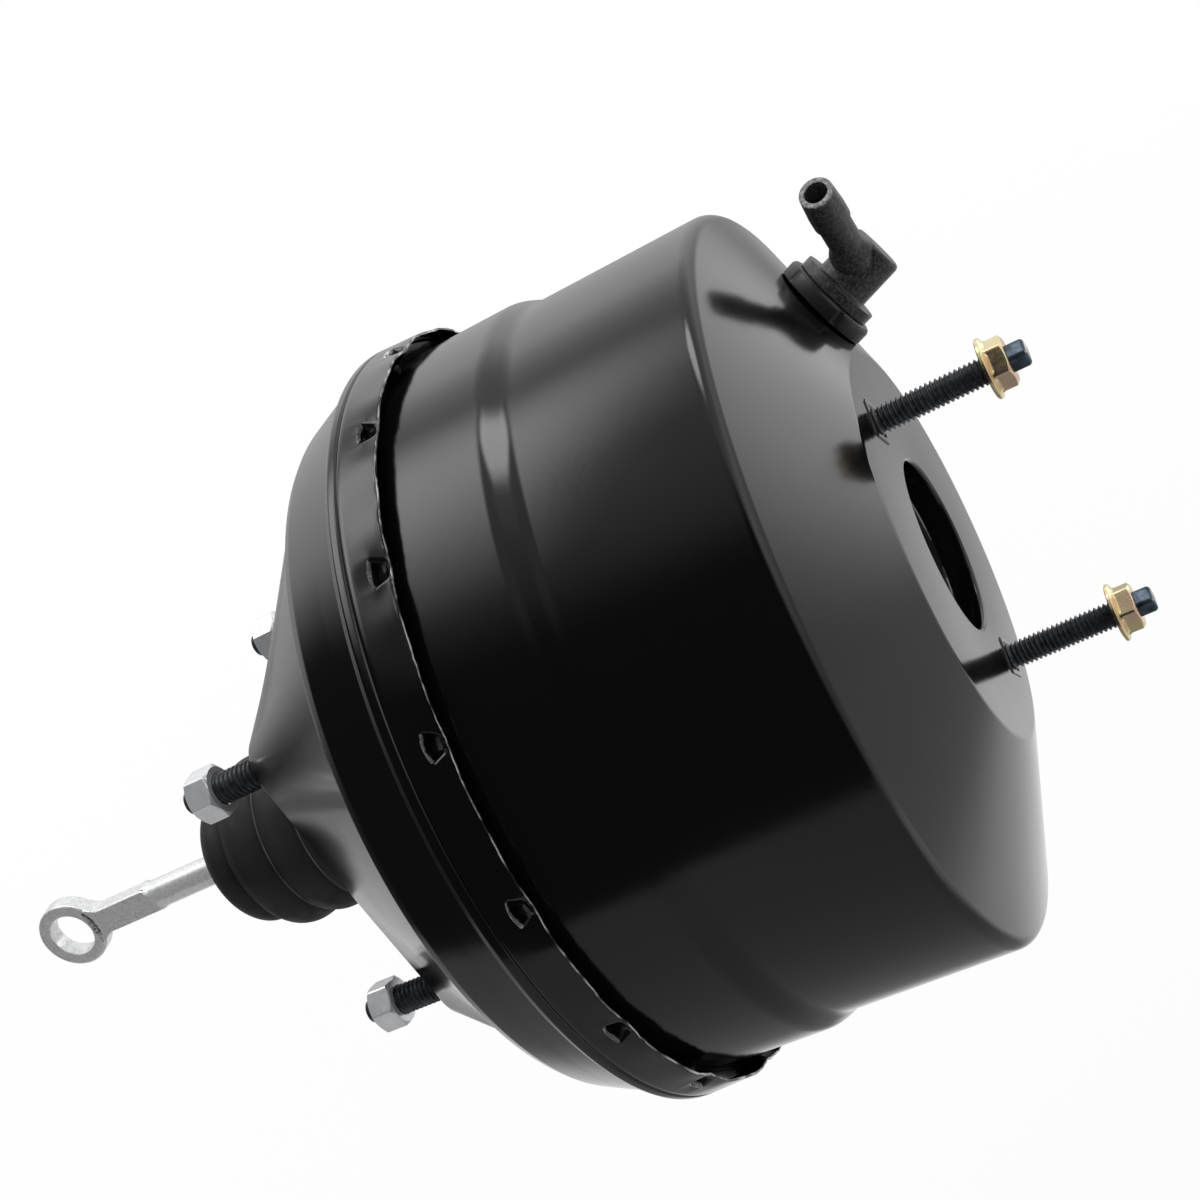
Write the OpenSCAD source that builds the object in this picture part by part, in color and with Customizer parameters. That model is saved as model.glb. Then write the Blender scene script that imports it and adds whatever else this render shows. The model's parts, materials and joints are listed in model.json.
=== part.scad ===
// Vacuum brake booster with two diaphragms in series.
// Millimetres. The origin is the middle of the rear stud pattern on the firewall face,
// +X runs along the booster's axis to the master cylinder pad and +Z is up.

/* [Housing shells] */
// Sheet thickness of both pressed shells
wall = 1.6; // [1.2:0.1:2]
// Distance from the firewall face to the front face of the clamped flange
flange_x = 77; // [76:0.5:84]
// Outer radius of the front shell's rear barrel
barrel_r = 113.6; // [112.6:0.2:114]
// Length of that barrel in front of the flange
barrel_len = 34.4; // [33:0.2:38]
// Axial length of the step down to the front barrel
step_len = 6.4; // [5:0.2:9]
// How much smaller the front barrel's radius is
nose_drop = 2.7; // [2:0.1:3.6]
// Distance from the flange to the master cylinder pad
front_depth = 114.4; // [110:0.2:130]
// Radius of the flat master cylinder pad
pad_r = 58.5; // [56:0.5:64]
// Slope of the front cone against the pad
cone_angle = 20.3; // [16:0.1:22]
// Bend radius between the front barrel and the cone
nose_bend = 4.5; // [3:0.5:7]
// Radius of the pilot hole for the master cylinder
pilot_r = 25.4; // [24:0.1:26]
// Depth of the neck turned in round the pilot hole
pilot_depth = 8; // [7:0.2:9]
// Bend radius at the mouth of the pilot hole
pilot_bend = 1.2; // [0.8:0.1:1.6]
// Width of the clamped flange outside the rear barrel
flange_w = 3.7; // [3.2:0.1:4]
// Gap between the flange's edge and the rim crimped round it
rim_fit = 0.6; // [0.5:0.1:1.6]
// Length of the rim behind the flange's front face
rim_len = 8.9; // [8.6:0.1:10]
// Length of the lip in front of the flange's front face
lip_len = 6; // [5:0.2:8]
// How far the lip is drawn in at its edge
lip_draw = 0.9; // [0.2:0.1:1]
// How far the waist behind the rim lies inside it
waist_drop = 6.5; // [4.5:0.1:7.5]
// Distance from the firewall face to the waist
waist_x = 59; // [57:0.5:62]
// How far the bottom of the shoulder lies inside the rim
shoulder_drop = 10.2; // [8.5:0.1:11.5]
// Distance from the firewall face to the bottom of the shoulder
shoulder_x = 48; // [46.6:0.2:50]

/* [Crimps] */
// Number of crimps round the lip
crimps = 16; // [8:1:20]
// Angle of the first crimp from +Y towards +Z
crimp_angle = 103; // [90:1:120]
// Width of a crimp
crimp_w = 7; // [5:0.5:9]
// How far a crimp's tongue is pressed in at its tip
crimp_press = 2; // [1:0.1:2.2]

/* [Rear dish] */
// How far the dish's mouth lies inside the rim
dish_drop = 14; // [13:0.1:15.5]
// Depth of the dish from the firewall face to its mouth
dish_x = 45; // [44.8:0.1:46]
// Radius of the flat pad round each rear stud
boss_r = 7.5; // [6:0.1:8.5]
// Rounding between the firewall face and the flank
boss_bend = 4; // [3.6:0.1:5]
// Radius of the firewall face above and below the axis
crown_r = 58.5; // [56:0.5:60]
// Radius of the crown where its rounding meets the flank
crown_foot_r = 64; // [62:0.5:65]
// Distance from the firewall face to that foot
crown_foot_x = 3; // [2:0.2:4]
// Radius of the hole for the neck in the firewall face
neck_r = 25; // [24.6:0.1:26]
// Depth of the neck turned in round that hole
neck_depth = 14; // [13:0.5:16]

/* [Studs and nuts] */
// Nominal radius of the front studs
front_stud_r = 3.97; // [3.5:0.01:4.4]
// Pitch radius of the front studs' thread
front_pitch_r = 3.51; // [3.2:0.01:3.7]
// Spacing of the two front studs
front_spacing = 85.725; // [84.5:0.1:90]
// Length of the front studs in front of the pad, without the drive end
front_stud_len = 39.3; // [34:0.2:50]
// Length of the plain neck at the foot of a front stud
front_plain = 4; // [3:0.5:8]
// Width across the square drive end
drive_w = 5.2; // [4:0.1:6]
// Length of the drive end
drive_len = 4.4; // [3:0.1:7]
// Turn of the drive ends about their axis
drive_turn = 20; // [0:1:90]
// Width across flats of the front nuts
front_nut_af = 12.7; // [11:0.1:14]
// Flange radius of the front nuts
front_nut_flange_r = 8.65; // [7.6:0.05:9.5]
// Height of the front nuts with their flange
front_nut_h = 6.6; // [5.5:0.1:8]
// Distance from the pad to the front nuts
front_nut_gap = 32.1; // [20:0.1:32.5]
// Nominal radius of the rear studs
rear_stud_r = 4.76; // [4.2:0.01:5]
// Pitch radius of the rear studs' thread
rear_pitch_r = 4.25; // [3.9:0.01:4.5]
// Spacing of the rear studs across the booster
rear_spacing_y = 82.55; // [80:0.1:84]
// Spacing of the rear studs up and down
rear_spacing_z = 92.08; // [90:0.1:94]
// Length of the rear studs behind the firewall face
rear_stud_len = 28.6; // [26:0.2:36]
// Length of the plain neck at the foot of a rear stud
rear_plain = 4; // [3:0.5:8]
// Width across flats of the rear nuts
rear_nut_af = 14.3; // [13:0.1:16]
// Height of the rear nuts
rear_nut_h = 8.3; // [7:0.1:9]
// Distance from the firewall face to the rear nuts
rear_nut_gap = 16.2; // [10:0.1:17]
// How much thicker the studs are where they are pressed into the shells
knurl_grow = 0.3; // [0.2:0.05:0.5]
// Radius of the stud heads inside the shells
head_r = 7.6; // [7:0.1:7.8]
// Thickness of the stud heads
head_h = 3; // [2.4:0.1:4]

/* [Divider and plates] */
// Thickness of the divider plate
divider_t = 1.3; // [1:0.1:1.5]
// Thickness of the diaphragm support plates
plate_t = 1.3; // [1:0.1:1.5]
// Thickness of the diaphragms
skin_t = 1.5; // [1.2:0.1:1.7]
// Distance from the firewall face to the flat middle of the divider
divider_x = 58; // [57.5:0.1:59]
// Width from the rear barrel in to the divider's cone
divider_rim_w = 15.2; // [14.6:0.1:16.6]
// Radius where the flat middle of the divider and plates ends
flat_r = 46; // [44:0.5:47]
// Distance from the firewall face to the front of the primary plate
primary_x = 17.5; // [17.4:0.1:18]
// Width from the rear barrel in to the rim of the primary plate
primary_rim_w = 27.6; // [25.6:0.1:29.6]
// Distance from the flat to the rim of the primary plate
primary_dish = 36; // [35:0.5:38]
// Length of the rim turned forward on both plates
plate_lip = 4.5; // [3.5:0.5:5]
// Distance from the divider to the front of the secondary plate
secondary_gap = 6; // [5.8:0.1:7]
// Width from the rear barrel in to the rim of the secondary plate
secondary_rim_w = 25.6; // [24:0.1:27]
// Distance from the flat to the rim of the secondary plate
secondary_dish = 42; // [41:0.5:43]
// Bend radius of the plates
plate_bend = 5; // [3.5:0.5:7]
// How far the secondary diaphragm's fold reaches in front of its plate
fold_reach = 8; // [7:0.5:10]

/* [Power piston] */
// Stroke of the power piston
stroke = 34; // [28:0.5:35]
// Radius of the piston's tail
tail_r = 20; // [19:0.1:20.4]
// How much of the tail stays behind the firewall face at full stroke
tail_rest = 4; // [3:0.5:8]
// Radius of the piston between the two plates
sleeve_r = 21.5; // [21:0.1:22]
// Radius of the piston's front flange
hub_flange_r = 27; // [25:0.5:28]
// Thickness of that flange
hub_flange_h = 4.5; // [4:0.5:6]
// Radius of the piston's nose
hub_nose_r = 17.5; // [16.5:0.5:19]
// Length of the nose in front of the flange
hub_nose_h = 7; // [6.6:0.2:9]
// Bore radius of the tail
tail_bore_r = 16.8; // [16.4:0.1:17]
// Bore radius of the poppet chamber
chamber_r = 14.6; // [14.5:0.1:15]
// Radius of the bore for the air valve plunger
plunger_bore_r = 8; // [7.8:0.05:8.2]
// Radius of the bore for the reaction disc
reaction_bore_r = 14; // [13.6:0.1:14.4]
// Thickness of the rubber reaction disc
reaction_t = 6.5; // [5:0.1:7]
// Gap between the plunger and the reaction disc at rest
reaction_gap = 2.2; // [2:0.1:3]
// Travel of the plunger in the piston
valve_travel = 1.5; // [1:0.1:1.8]
// Thickness of the clip on the plunger
clip_t = 1.2; // [1:0.1:1.4]
// Outer radius of that clip
clip_r = 10.4; // [9.8:0.1:11]
// Radius of the air passages through the piston's web
port_r = 1.8; // [1.4:0.1:2]

/* [Push rods] */
// Radius of the input push rod
rod_r = 4.9; // [4.5:0.05:5]
// Radius of its ball
ball_r = 6; // [5.8:0.05:6.2]
// Distance from the firewall face to the middle of the ball
ball_x = 22; // [21.5:0.1:23]
// Distance from the firewall face back to the pedal pin
eye_x = 126.8; // [115:0.2:140]
// Radius of the pedal pin's eye
eye_r = 7.6; // [6.5:0.1:8.2]
// Outer radius of the eye
eye_out_r = 11.75; // [11:0.05:13]
// Thickness of the eye
eye_t = 6.8; // [5:0.1:8]
// Length of the round rod behind the firewall face
round_len = 92; // [80:0.5:98]
// Width of the flat shank
shank_w = 9.4; // [8.6:0.1:10]
// Turn of the eye about the rod's axis
eye_turn = -6.7; // [-15:0.1:15]
// Radius of the spring collar on the input rod
collar_r = 11.4; // [11:0.1:12]
// Distance from the firewall face back to that collar
collar_x = 20; // [19:0.5:22]
// Radius of the output push rod
output_r = 6.35; // [5.5:0.05:6.6]
// Radius of the adjusting screw's hexagon
adjuster_r = 5.6; // [5:0.1:6]
// How far the adjusting screw's tip lies behind the pad
tip_recess = 9; // [8.8:0.1:11]

/* [Boot] */
// Wall thickness of the boot
boot_t = 1.8; // [1.4:0.1:2]
// Radius of the boot's folds
fold_r = 28.4; // [27.5:0.1:30]
// Radius of the valleys between the folds
valley_r = 26.6; // [25.5:0.1:27]
// Distance from one fold to the next
fold_pitch = 14.4; // [13:0.2:15]
// Radius of the dome at the boot's end
dome_r = 23.3; // [22.6:0.1:24.5]
// Length of the boot behind the firewall face
boot_len = 70; // [68:0.5:74]
// Length of the boot's tip over which it closes on the rod
dome_len = 15; // [13:0.5:17]

/* [Check valve] */
// Distance of the valve's foot from the booster's axis
valve_r = 75.4; // [73:0.2:86]
// Angle of the valve from +Z towards +Y
valve_angle = 33.4; // [25:0.1:45]
// Radius of the grommet's head
grommet_r = 14.6; // [13:0.1:16]
// Height of the grommet's head
grommet_h = 5.1; // [4:0.1:6]
// Radius of the grommet's hole in the shell
grommet_hole_r = 9.6; // [9:0.1:10.4]
// Radius of the valve's stem
stem_r = 6.9; // [6.5:0.05:7.4]
// Radius of the valve's disc
valve_disc_r = 12.2; // [11:0.1:13]
// Thickness of that disc
valve_disc_t = 2.5; // [2:0.1:3]
// Radius of the valve's body
elbow_r = 8; // [7.6:0.1:9]
// Height of the top of the valve's body above the shell
elbow_top = 23.4; // [22.5:0.1:28]
// Height of the nipple's root above the shell
nipple_h = 16; // [14.5:0.1:17]
// Direction of the nipple round the valve
nipple_angle = 247; // [180:1:260]
// Rise of the nipple
nipple_rise = 11.8; // [8:0.1:25]
// Length of the nipple from the valve's axis
nipple_len = 36.7; // [30:0.1:38]
// Radius of the nipple's neck
nipple_r = 4.75; // [4.4:0.05:5]
// Radius of the nipple's barb
barb_r = 5.35; // [5.1:0.05:5.8]
// Length of the barb
barb_len = 13.2; // [10:0.1:16]
// Radius of the nipple's hole
nipple_hole_r = 3.25; // [2.8:0.05:3.6]
// Radius of the check disc
disc_r = 5.2; // [4.8:0.1:5.4]
// Lift of the check disc
disc_lift = 2; // [1:0.1:2.5]

/* [Springs] */
// Wire radius of the return spring
return_wire_r = 1.9; // [1.6:0.05:2]
// Coil radius of the return spring
return_coil_r = 31.4; // [31:0.1:31.6]
// Turns of the return spring
return_turns = 8.5; // [6:0.5:9]
// Wire radius of the small springs
small_wire_r = 0.6; // [0.4:0.05:0.65]
// Turns of the small springs
small_turns = 5; // [4:0.5:6]

/* [Fits] */
// Radial clearance of sliding and turning fits
run_fit = 0.05; // [0.02:0.01:0.1]
// Radial clearance of seated pieces
seat_fit = 0.05; // [0.02:0.01:0.1]
// Gap between seated faces
seat_gap = 0.1; // [0.05:0.01:0.2]
// Gap between faces that part when the booster works
part_gap = 0.3; // [0.25:0.05:0.5]

/* [Hidden] */

// Finish colours
gloss_black = [0.05, 0.05, 0.055];
rubber_black = [0.1, 0.1, 0.1];
plastic_black = [0.14, 0.14, 0.15];
oxide_black = [0.08, 0.08, 0.1];
zinc_silver = [0.78, 0.78, 0.8];
zinc_yellow = [0.8, 0.68, 0.36];
raw_steel = [0.55, 0.56, 0.58];
piston_grey = [0.35, 0.36, 0.38];

// Fineness of the round surfaces
round_fn = 128;
small_fn = 48;
ball_steps = 14;
hull_fn = 32;
arc_steps = 6;
// Overlap that makes cuts clean
eps = 0.5;

// Radii and stations of the shells
flange_r = barrel_r + flange_w;
rim_r = flange_r + wall + rim_fit;
lip_r = rim_r - lip_draw;
nose_r = barrel_r - nose_drop;
waist_r = rim_r - waist_drop;
shoulder_r = rim_r - shoulder_drop;
dish_r = rim_r - dish_drop;
pad_x = flange_x + front_depth;
step_x = flange_x + barrel_len;
lip_x = flange_x + lip_len;
rim_x = flange_x - rim_len;
cone_x = pad_x - (nose_r - pad_r) * tan(cone_angle);

// Bends of the front shell
foot_bend = 3;
step_bend = 8;
pad_bend = 4;

// Rim, waist and ledge of the rear shell
rim_flat = 2.7;
rim_drop = 2.5;
rim_foot = 2.1;
rim_bend = 2;
lip_bend = 3;
waist_bend = 8;
shoulder_bend = 4;
ledge_bend = 2;
ledge_drop = 2.7;
ledge_w = 20;
ledge_x = dish_x - wall / 4;
hull_t = 0.1;

// Crimps
crimp_start = 0.3;
crimp_end = lip_len - wall / 2;
crimp_reach = 5;
crimp_thin = 0.3;

// Divider and the pieces clamped with it
divider_out_r = barrel_r - divider_rim_w;
divider_back = 1;
divider_fit = 0.2;
divider_face_x = step_x - divider_back;
divider_r = barrel_r - wall - divider_fit;
divider_edge_bend = 2;
divider_bend = 5;
clamp_x = flange_x - wall - seat_gap;
bead_front_x = clamp_x - divider_t - seat_gap;
bead_h = 3.6;
primary_bead_x = bead_front_x - bead_h;
bead_w = 5.8;
bead_in_r = flange_r - bead_w;
bead_cut = 0.8;
secondary_x = divider_x + secondary_gap;
secondary_rim_r = barrel_r - secondary_rim_w;
secondary_bead_x = divider_face_x + part_gap;
secondary_bead_h = 3.4;
secondary_bead_w = 5.4;
secondary_bead_cut = 1.5;
secondary_bead_r = divider_r - divider_t - seat_gap;
primary_rim_r = barrel_r - primary_rim_w;
primary_rim_x = primary_x + primary_dish;
secondary_rim_x = secondary_x + secondary_dish;
primary_ring_t = 3;
secondary_ring_t = 2.4;
ring_w = 4;
fold_bend = 5;

// Seals round the piston
seal_hole_r = 25.2;
seal_lip_w = 2.8;
seal_back = 1.7;
seal_front = 1.2;
seal_cut = 0.6;
rear_seal_x = 1.6;
rear_seal_t = 1.6;
rear_lip_t = 1.8;
rear_lip_len = 1.2;

// Stations inside the power piston
web_front = 0.5;
web_x = primary_x + web_front;
hub_front_x = secondary_x + hub_flange_h;
nose_x = hub_front_x + hub_nose_h;
reaction_back = 4;
reaction_x = secondary_x - reaction_back;
head_x = reaction_x + reaction_t;
plunger_tip_x = reaction_x - reaction_gap;
tail_len = stroke + tail_rest;
tail_cut = 0.8;
port_wall = 0.4;
port_ring_r = plunger_bore_r + port_r + port_wall;
chamber_back = 2;
chamber_x = -chamber_back;
cup_len = 6;
retainer_x = chamber_x - cup_len;

// Air valve and poppet
air_seat_back = 8.4;
air_seat_x = web_x - air_seat_back;
air_seat_r = 10.8;
vacuum_seat_back = 0.8;
vacuum_seat_x = air_seat_x + vacuum_seat_back;
vacuum_seat_r = 12.2;
vacuum_seat_w = 1.2;
plunger_r = plunger_bore_r - run_fit;
plunger_cut = 1.5;
groove_depth = 2;
groove_r = plunger_r - groove_depth;
clip_back = 2.2;
clip_x = plunger_tip_x - clip_back - clip_t;
clip_grip = 1;
socket_mouth = 2.2;
ball_fit = 0.1;
socket_lip = 0.4;
poppet_in_r = 7.6;
poppet_out_r = 13.6;
poppet_bead_r = 13.2;
poppet_bead_h = 3;
poppet_wall_r = 11;
poppet_wall_t = 1.4;
poppet_t = 2.6;
poppet_step = 3;
poppet_spring_r = 9;
cup_t = 1;
cup_in_r = 8.2;
cup_mouth_r = 12.6;
cup_wall_t = 1.15;
filter_gap = 1.5;
filter_len = 9;
filter_fit = 3.2;

// Input push rod
rod_end_x = 6.5;
rod_neck_step = 0.8;
rod_neck_r = rod_r - rod_neck_step;
collar_t = 1.5;
shank_cut = 1.5;
shank_slope = 3;
shank_lap = 4;
eye_flare = 4;
eye_neck = 5;
eye_side = 1.2;
valve_spring_r = 10;

// Output push rod and its screw
output_head_h = 4.5;
output_head_fit = 0.3;
output_shoulder_w = 2.6;
output_shoulder_h = 3;
screw_len = 12;
screw_r = 3;
screw_in = 4;
screw_out = 6;
adjuster_h = 3.4;
tip_r = 3.8;
tip_cut = 0.9;
tip_round = 1.2;
washer_t = 0.8;
washer_w = 3.4;
washer_slots = 6;
slot_w = 2;
slot_in = 2.2;

// Front seal
front_lip_x = 5;
front_lip_len = 3;
front_lip_r = 9.4;
front_lip_w = 3.1;
front_wall_r = 11.8;
front_rim_t = 1.8;
front_rim_h = 2.4;
front_web_t = 2;
front_cut = 0.6;

// Boot
boot_lip = 1;
boot_lip_r = 1.4;
boot_tip_h = 2.5;
boot_tip_w = 2.3;
boot_grip = 3;
boot_spigot = 1.3;
boot_foot_t = 0.4;
boot_foot_x = 2;
dome_slope = 5.4;
dome_slope_r = dome_r * 0.75;
dome_bend = 8;
fold_rise = 5;
fold_round = 6;
soft_bend = 4;
tight_bend = 2;
crease_bend = 0.8;

// Studs and nuts
front_studs = [for (z = [-1, 1]) [0, z * front_spacing / 2]];
rear_studs = [for (y = [-1, 1], z = [-1, 1]) [y * rear_spacing_y / 2, z * rear_spacing_z / 2]];
head_cut = 1.5;
thread_runout = 0.5;
point_len = 1.2;
nut_cut = 0.9;
nut_flange_h = 1.5;
nut_flange_slope = 0.8;

// Check valve and its grommet
valve_x = pad_x - (valve_r - pad_r) * tan(cone_angle);
grommet_slack = 0.4;
grommet_under = wall + grommet_slack;
grommet_tail = 3;
grommet_tail_r = 0.6;
grommet_grip = 1.8;
grommet_step = 1;
grommet_ribs = 12;
rib_foot = 1.2;
rib_r = 0.8;
rib_fn = 24;
stem_len = 8;
stem_point = 1.5;
stem_cut = 1;
stem_step = 0.8;
stem_hole_r = 3.4;
elbow_cut = 1;
disc_gap = 1;
disc_h = grommet_h + disc_gap;
disc_seat_rise = 3.5;
disc_seat_h = grommet_h + disc_seat_rise;
disc_fit = 0.3;
disc_t = 1.6;
spring_room = 8.8;
chamber_top = disc_seat_h + disc_t + disc_lift + spring_room;
barb_step = 0.4;
barb_flat = 5;
barb_root = 0.1;
nipple_point = 1.2;
nipple_cut = 0.5;
check_coil_r = 3.6;
check_wire_r = 0.4;
check_turns = 5;

// Fineness of the coils
coil_rings = 18;
coil_sides = 8;
small_rings = 14;
small_sides = 6;

// Path helpers: a path point is [station, radius, bend radius]
function unit(v) = v / norm(v);
function right(v) = [v[1], -v[0]];
function flat_angle(a) = a - 360 * floor((a + 180) / 360);
function point(p) = [p[0], p[1]];
function bend(a, b, c, r) =
    let (u = unit(a - b), w = unit(c - b),
        half = acos(max(-1, min(1, u * w))) / 2,
        start = b + u * r / tan(half),
        end = b + w * r / tan(half),
        middle = b + unit(u + w) * r / sin(half),
        from = atan2(start[1] - middle[1], start[0] - middle[0]),
        to = atan2(end[1] - middle[1], end[0] - middle[0]),
        sweep = flat_angle(to - from))
    [for (i = [0 : arc_steps])
        let (a = from + sweep * i / arc_steps) middle + r * [cos(a), sin(a)]];
function rounded(path) =
    [for (i = [0 : len(path) - 1])
        each (len(path[i]) < 3 ? [point(path[i])]
            : bend(point(path[i - 1]), point(path[i]), point(path[i + 1]), path[i][2]))];
function shifted(line, t) =
    [for (i = [0 : len(line) - 1])
        let (before = i > 0 ? unit(line[i] - line[i - 1]) : unit(line[1] - line[0]),
            after = i < len(line) - 1 ? unit(line[i + 1] - line[i]) : before,
            both = right(before) + right(after))
        line[i] + both * 2 * t / (both * both)];
function reversed(list) = [for (i = [len(list) - 1 : -1 : 0]) list[i]];

// A profile of [station, radius] points turned about the booster's axis
module turned(points, fn = round_fn)
    rotate([0, 90, 0]) rotate_extrude($fn = fn) polygon([for (p = points) [p[1], p[0]]]);

// A sheet of even thickness whose outer side follows the path
module sheet(path, t) {
    outer = rounded(path);
    turned(concat(outer, reversed(shifted(outer, t))));
}

// A ring from station a to b between two radii
module ring(a, b, r_in, r_out, fn = round_fn)
    turned([[a, r_in], [b, r_in], [b, r_out], [a, r_out]], fn);

// A cylinder along the axis from station a to b
module bar(a, b, r, fn = small_fn)
    translate([a, 0, 0]) rotate([0, 90, 0]) cylinder(h = b - a, r = r, $fn = fn);

// A coil spring along the axis with a closed turn at each end
function coil_x(t, a, b, turns, wire) =
    let (closed = 2.15 * wire)
    t < 1 ? a + wire + t * closed
    : t > turns - 1 ? b - wire - (turns - t) * closed
    : a + wire + closed + (b - a - 2 * wire - 2 * closed) * (t - 1) / (turns - 2);
module coil(a, b, r, wire, turns, per_turn, sides) {
    rings = round(turns * per_turn);
    points = [for (i = [0 : rings], j = [0 : sides - 1])
        let (t = turns * i / rings, around = 360 * t, across = 360 * j / sides,
            reach = r + wire * cos(across))
        [coil_x(t, a, b, turns, wire) + wire * sin(across),
            reach * cos(around), reach * sin(around)]];
    walls = [for (i = [0 : rings - 1], j = [0 : sides - 1])
        let (k = (j + 1) % sides)
        [i * sides + j, i * sides + k, (i + 1) * sides + k, (i + 1) * sides + j]];
    ends = [[for (j = [sides - 1 : -1 : 0]) j], [for (j = [0 : sides - 1]) rings * sides + j]];
    polyhedron(points, concat(walls, ends), convexity = 10);
}

// Front shell: flange, two barrels, cone, pad and the neck of the pilot hole
module front_shell() {
    path = [[flange_x, flange_r], [flange_x, barrel_r, foot_bend], [step_x, barrel_r, step_bend],
        [step_x + step_len, nose_r, step_bend], [cone_x, nose_r, nose_bend],
        [pad_x, pad_r, pad_bend], [pad_x, pilot_r, pilot_bend], [pad_x - pilot_depth, pilot_r]];
    color(gloss_black) difference() {
        sheet(path, wall);
        for (s = front_studs)
            translate([0, s[0], s[1]])
                bar(pad_x - 2 * wall, pad_x + eps, front_stud_r + knurl_grow + seat_fit);
        at_valve() translate([0, 0, -4 * wall])
            cylinder(h = 8 * wall, r = grommet_hole_r, $fn = small_fn);
    }
}

// Rear shell: dished firewall face, shoulder, waist, rim and crimped lip
module rear_shell() {
    path = [[ledge_x, shoulder_r - ledge_w], [ledge_x, shoulder_r - ledge_drop, ledge_bend],
        [shoulder_x, shoulder_r, shoulder_bend], [waist_x, waist_r, waist_bend],
        [rim_x - rim_foot, rim_r - rim_drop, rim_bend], [rim_x, rim_r, rim_bend],
        [rim_x + rim_flat, rim_r, lip_bend], [lip_x, lip_r]];
    outer = rounded(path);
    inner = shifted(outer, wall);
    color(gloss_black) {
        difference() {
            union() {
                turned(concat([[ledge_x, 0]], outer, [[lip_x, 0]]));
                dish(0);
            }
            turned(concat([[ledge_x + wall, 0]], inner, [[lip_x + eps, inner[len(inner) - 1][1]],
                [lip_x + eps, 0]]));
            dish(wall);
            bar(-eps, 2 * wall, neck_r, round_fn);
            for (s = rear_studs)
                translate([0, s[0], s[1]])
                    bar(-eps, 2 * wall, rear_stud_r + knurl_grow + seat_fit);
            for (k = [0 : crimps - 1])
                rotate([crimp_angle + k * 360 / crimps, 0, 0]) crimp_cut();
        }
        ring(0, neck_depth, neck_r, neck_r + wall);
        for (k = [0 : crimps - 1])
            rotate([crimp_angle + k * 360 / crimps, 0, 0]) crimp_tongue();
    }
}

// The dish behind the shoulder, drawn in by t on every side
module dish(t) {
    flank = (dish_r - crown_foot_r) / (dish_x - crown_foot_x);
    slant = t * norm([1, flank]);
    mouth_x = t > 0 ? ledge_x + t + 2 * eps : dish_x + eps;
    mouth_r = dish_r + (mouth_x - dish_x) * flank - slant;
    hull() {
        bar(mouth_x - hull_t, mouth_x, mouth_r, 2 * small_fn);
        intersection() {
            union() {
                bar(t, t + hull_t, crown_r - t, 2 * small_fn);
                bar(crown_foot_x, crown_foot_x + hull_t, crown_foot_r - slant, 2 * small_fn);
            }
            translate([-eps, -rear_spacing_y / 2, -dish_r])
                cube([dish_x, rear_spacing_y, 2 * dish_r]);
        }
        for (s = rear_studs)
            translate([0, s[0], s[1]]) boss(t);
    }
}

// The rounded pad round a rear stud
module boss(t)
    turned(concat([[t, 0]], [for (i = [0 : 3]) let (a = 30 * i)
        [boss_bend - (boss_bend - t) * cos(a), boss_r + (boss_bend - t) * sin(a)]],
        [[boss_bend, 0]]), hull_fn);

// The slot torn through the lip at a crimp
module crimp_cut()
    translate([flange_x - seat_gap - crimp_start, rim_r - crimp_reach, -crimp_w / 2])
        cube([seat_gap + crimp_start + crimp_end, 2 * crimp_reach, crimp_w]);

// The tongue pressed in behind the flange at a crimp
module crimp_tongue() {
    top = lip_r - crimp_start / 2;
    foot = lip_r - crimp_press;
    from = flange_x + crimp_start;
    to = flange_x + crimp_end + crimp_start;
    translate([0, 0, -crimp_w / 2 + seat_gap]) linear_extrude(height = crimp_w - 2 * seat_gap)
        polygon([[from, foot], [to, top], [to, top - wall + crimp_thin],
            [from, foot - wall + crimp_thin]]);
}

// Divider plate between the two vacuum chambers
module divider_plate() {
    path = [[clamp_x, flange_r], [clamp_x, divider_r, divider_edge_bend],
        [divider_face_x, divider_r, divider_edge_bend],
        [divider_face_x, divider_out_r, divider_bend], [divider_x, flat_r, divider_bend],
        [divider_x, seal_hole_r]];
    color(raw_steel) sheet(path, divider_t);
}

// Lip seal in the divider, running on the piston's sleeve
module divider_seal() {
    back = divider_x - divider_t - seal_back;
    front = divider_x + seal_front;
    lip = seal_hole_r + seal_lip_w;
    r = sleeve_r + run_fit;
    color(rubber_black) difference() {
        turned([[back, r], [front - seal_cut, r], [front, r + seal_cut], [front, lip - seal_cut],
            [front - seal_cut, lip], [back + seal_cut, lip], [back, lip - seal_cut]]);
        ring(divider_x - divider_t - seat_gap, divider_x + seat_gap, seal_hole_r - seat_gap,
            lip + eps);
    }
}

// The rear side of a support plate, from its rim to the piston
function plate_line(face_x, rim_x, rim_r, hub_r) =
    rounded([[rim_x + plate_lip, rim_r], [rim_x, rim_r, plate_bend],
        [face_x - plate_t, flat_r, plate_bend], [face_x - plate_t, hub_r + seat_fit]]);
primary_line = plate_line(primary_x, primary_rim_x, primary_rim_r, tail_r);
secondary_line = plate_line(secondary_x, secondary_rim_x, secondary_rim_r, sleeve_r);

// A plate pressed from sheet behind the line
module plate(line) turned(concat(line, reversed(shifted(line, -plate_t))));

// Cross-section of a bead with its corners cut
function bead(a, b, r_in, r_out, cut) =
    [[a, r_in], [b, r_in], [b, r_out - cut], [b - cut, r_out], [a + cut, r_out],
        [a, r_out - cut]];

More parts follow.
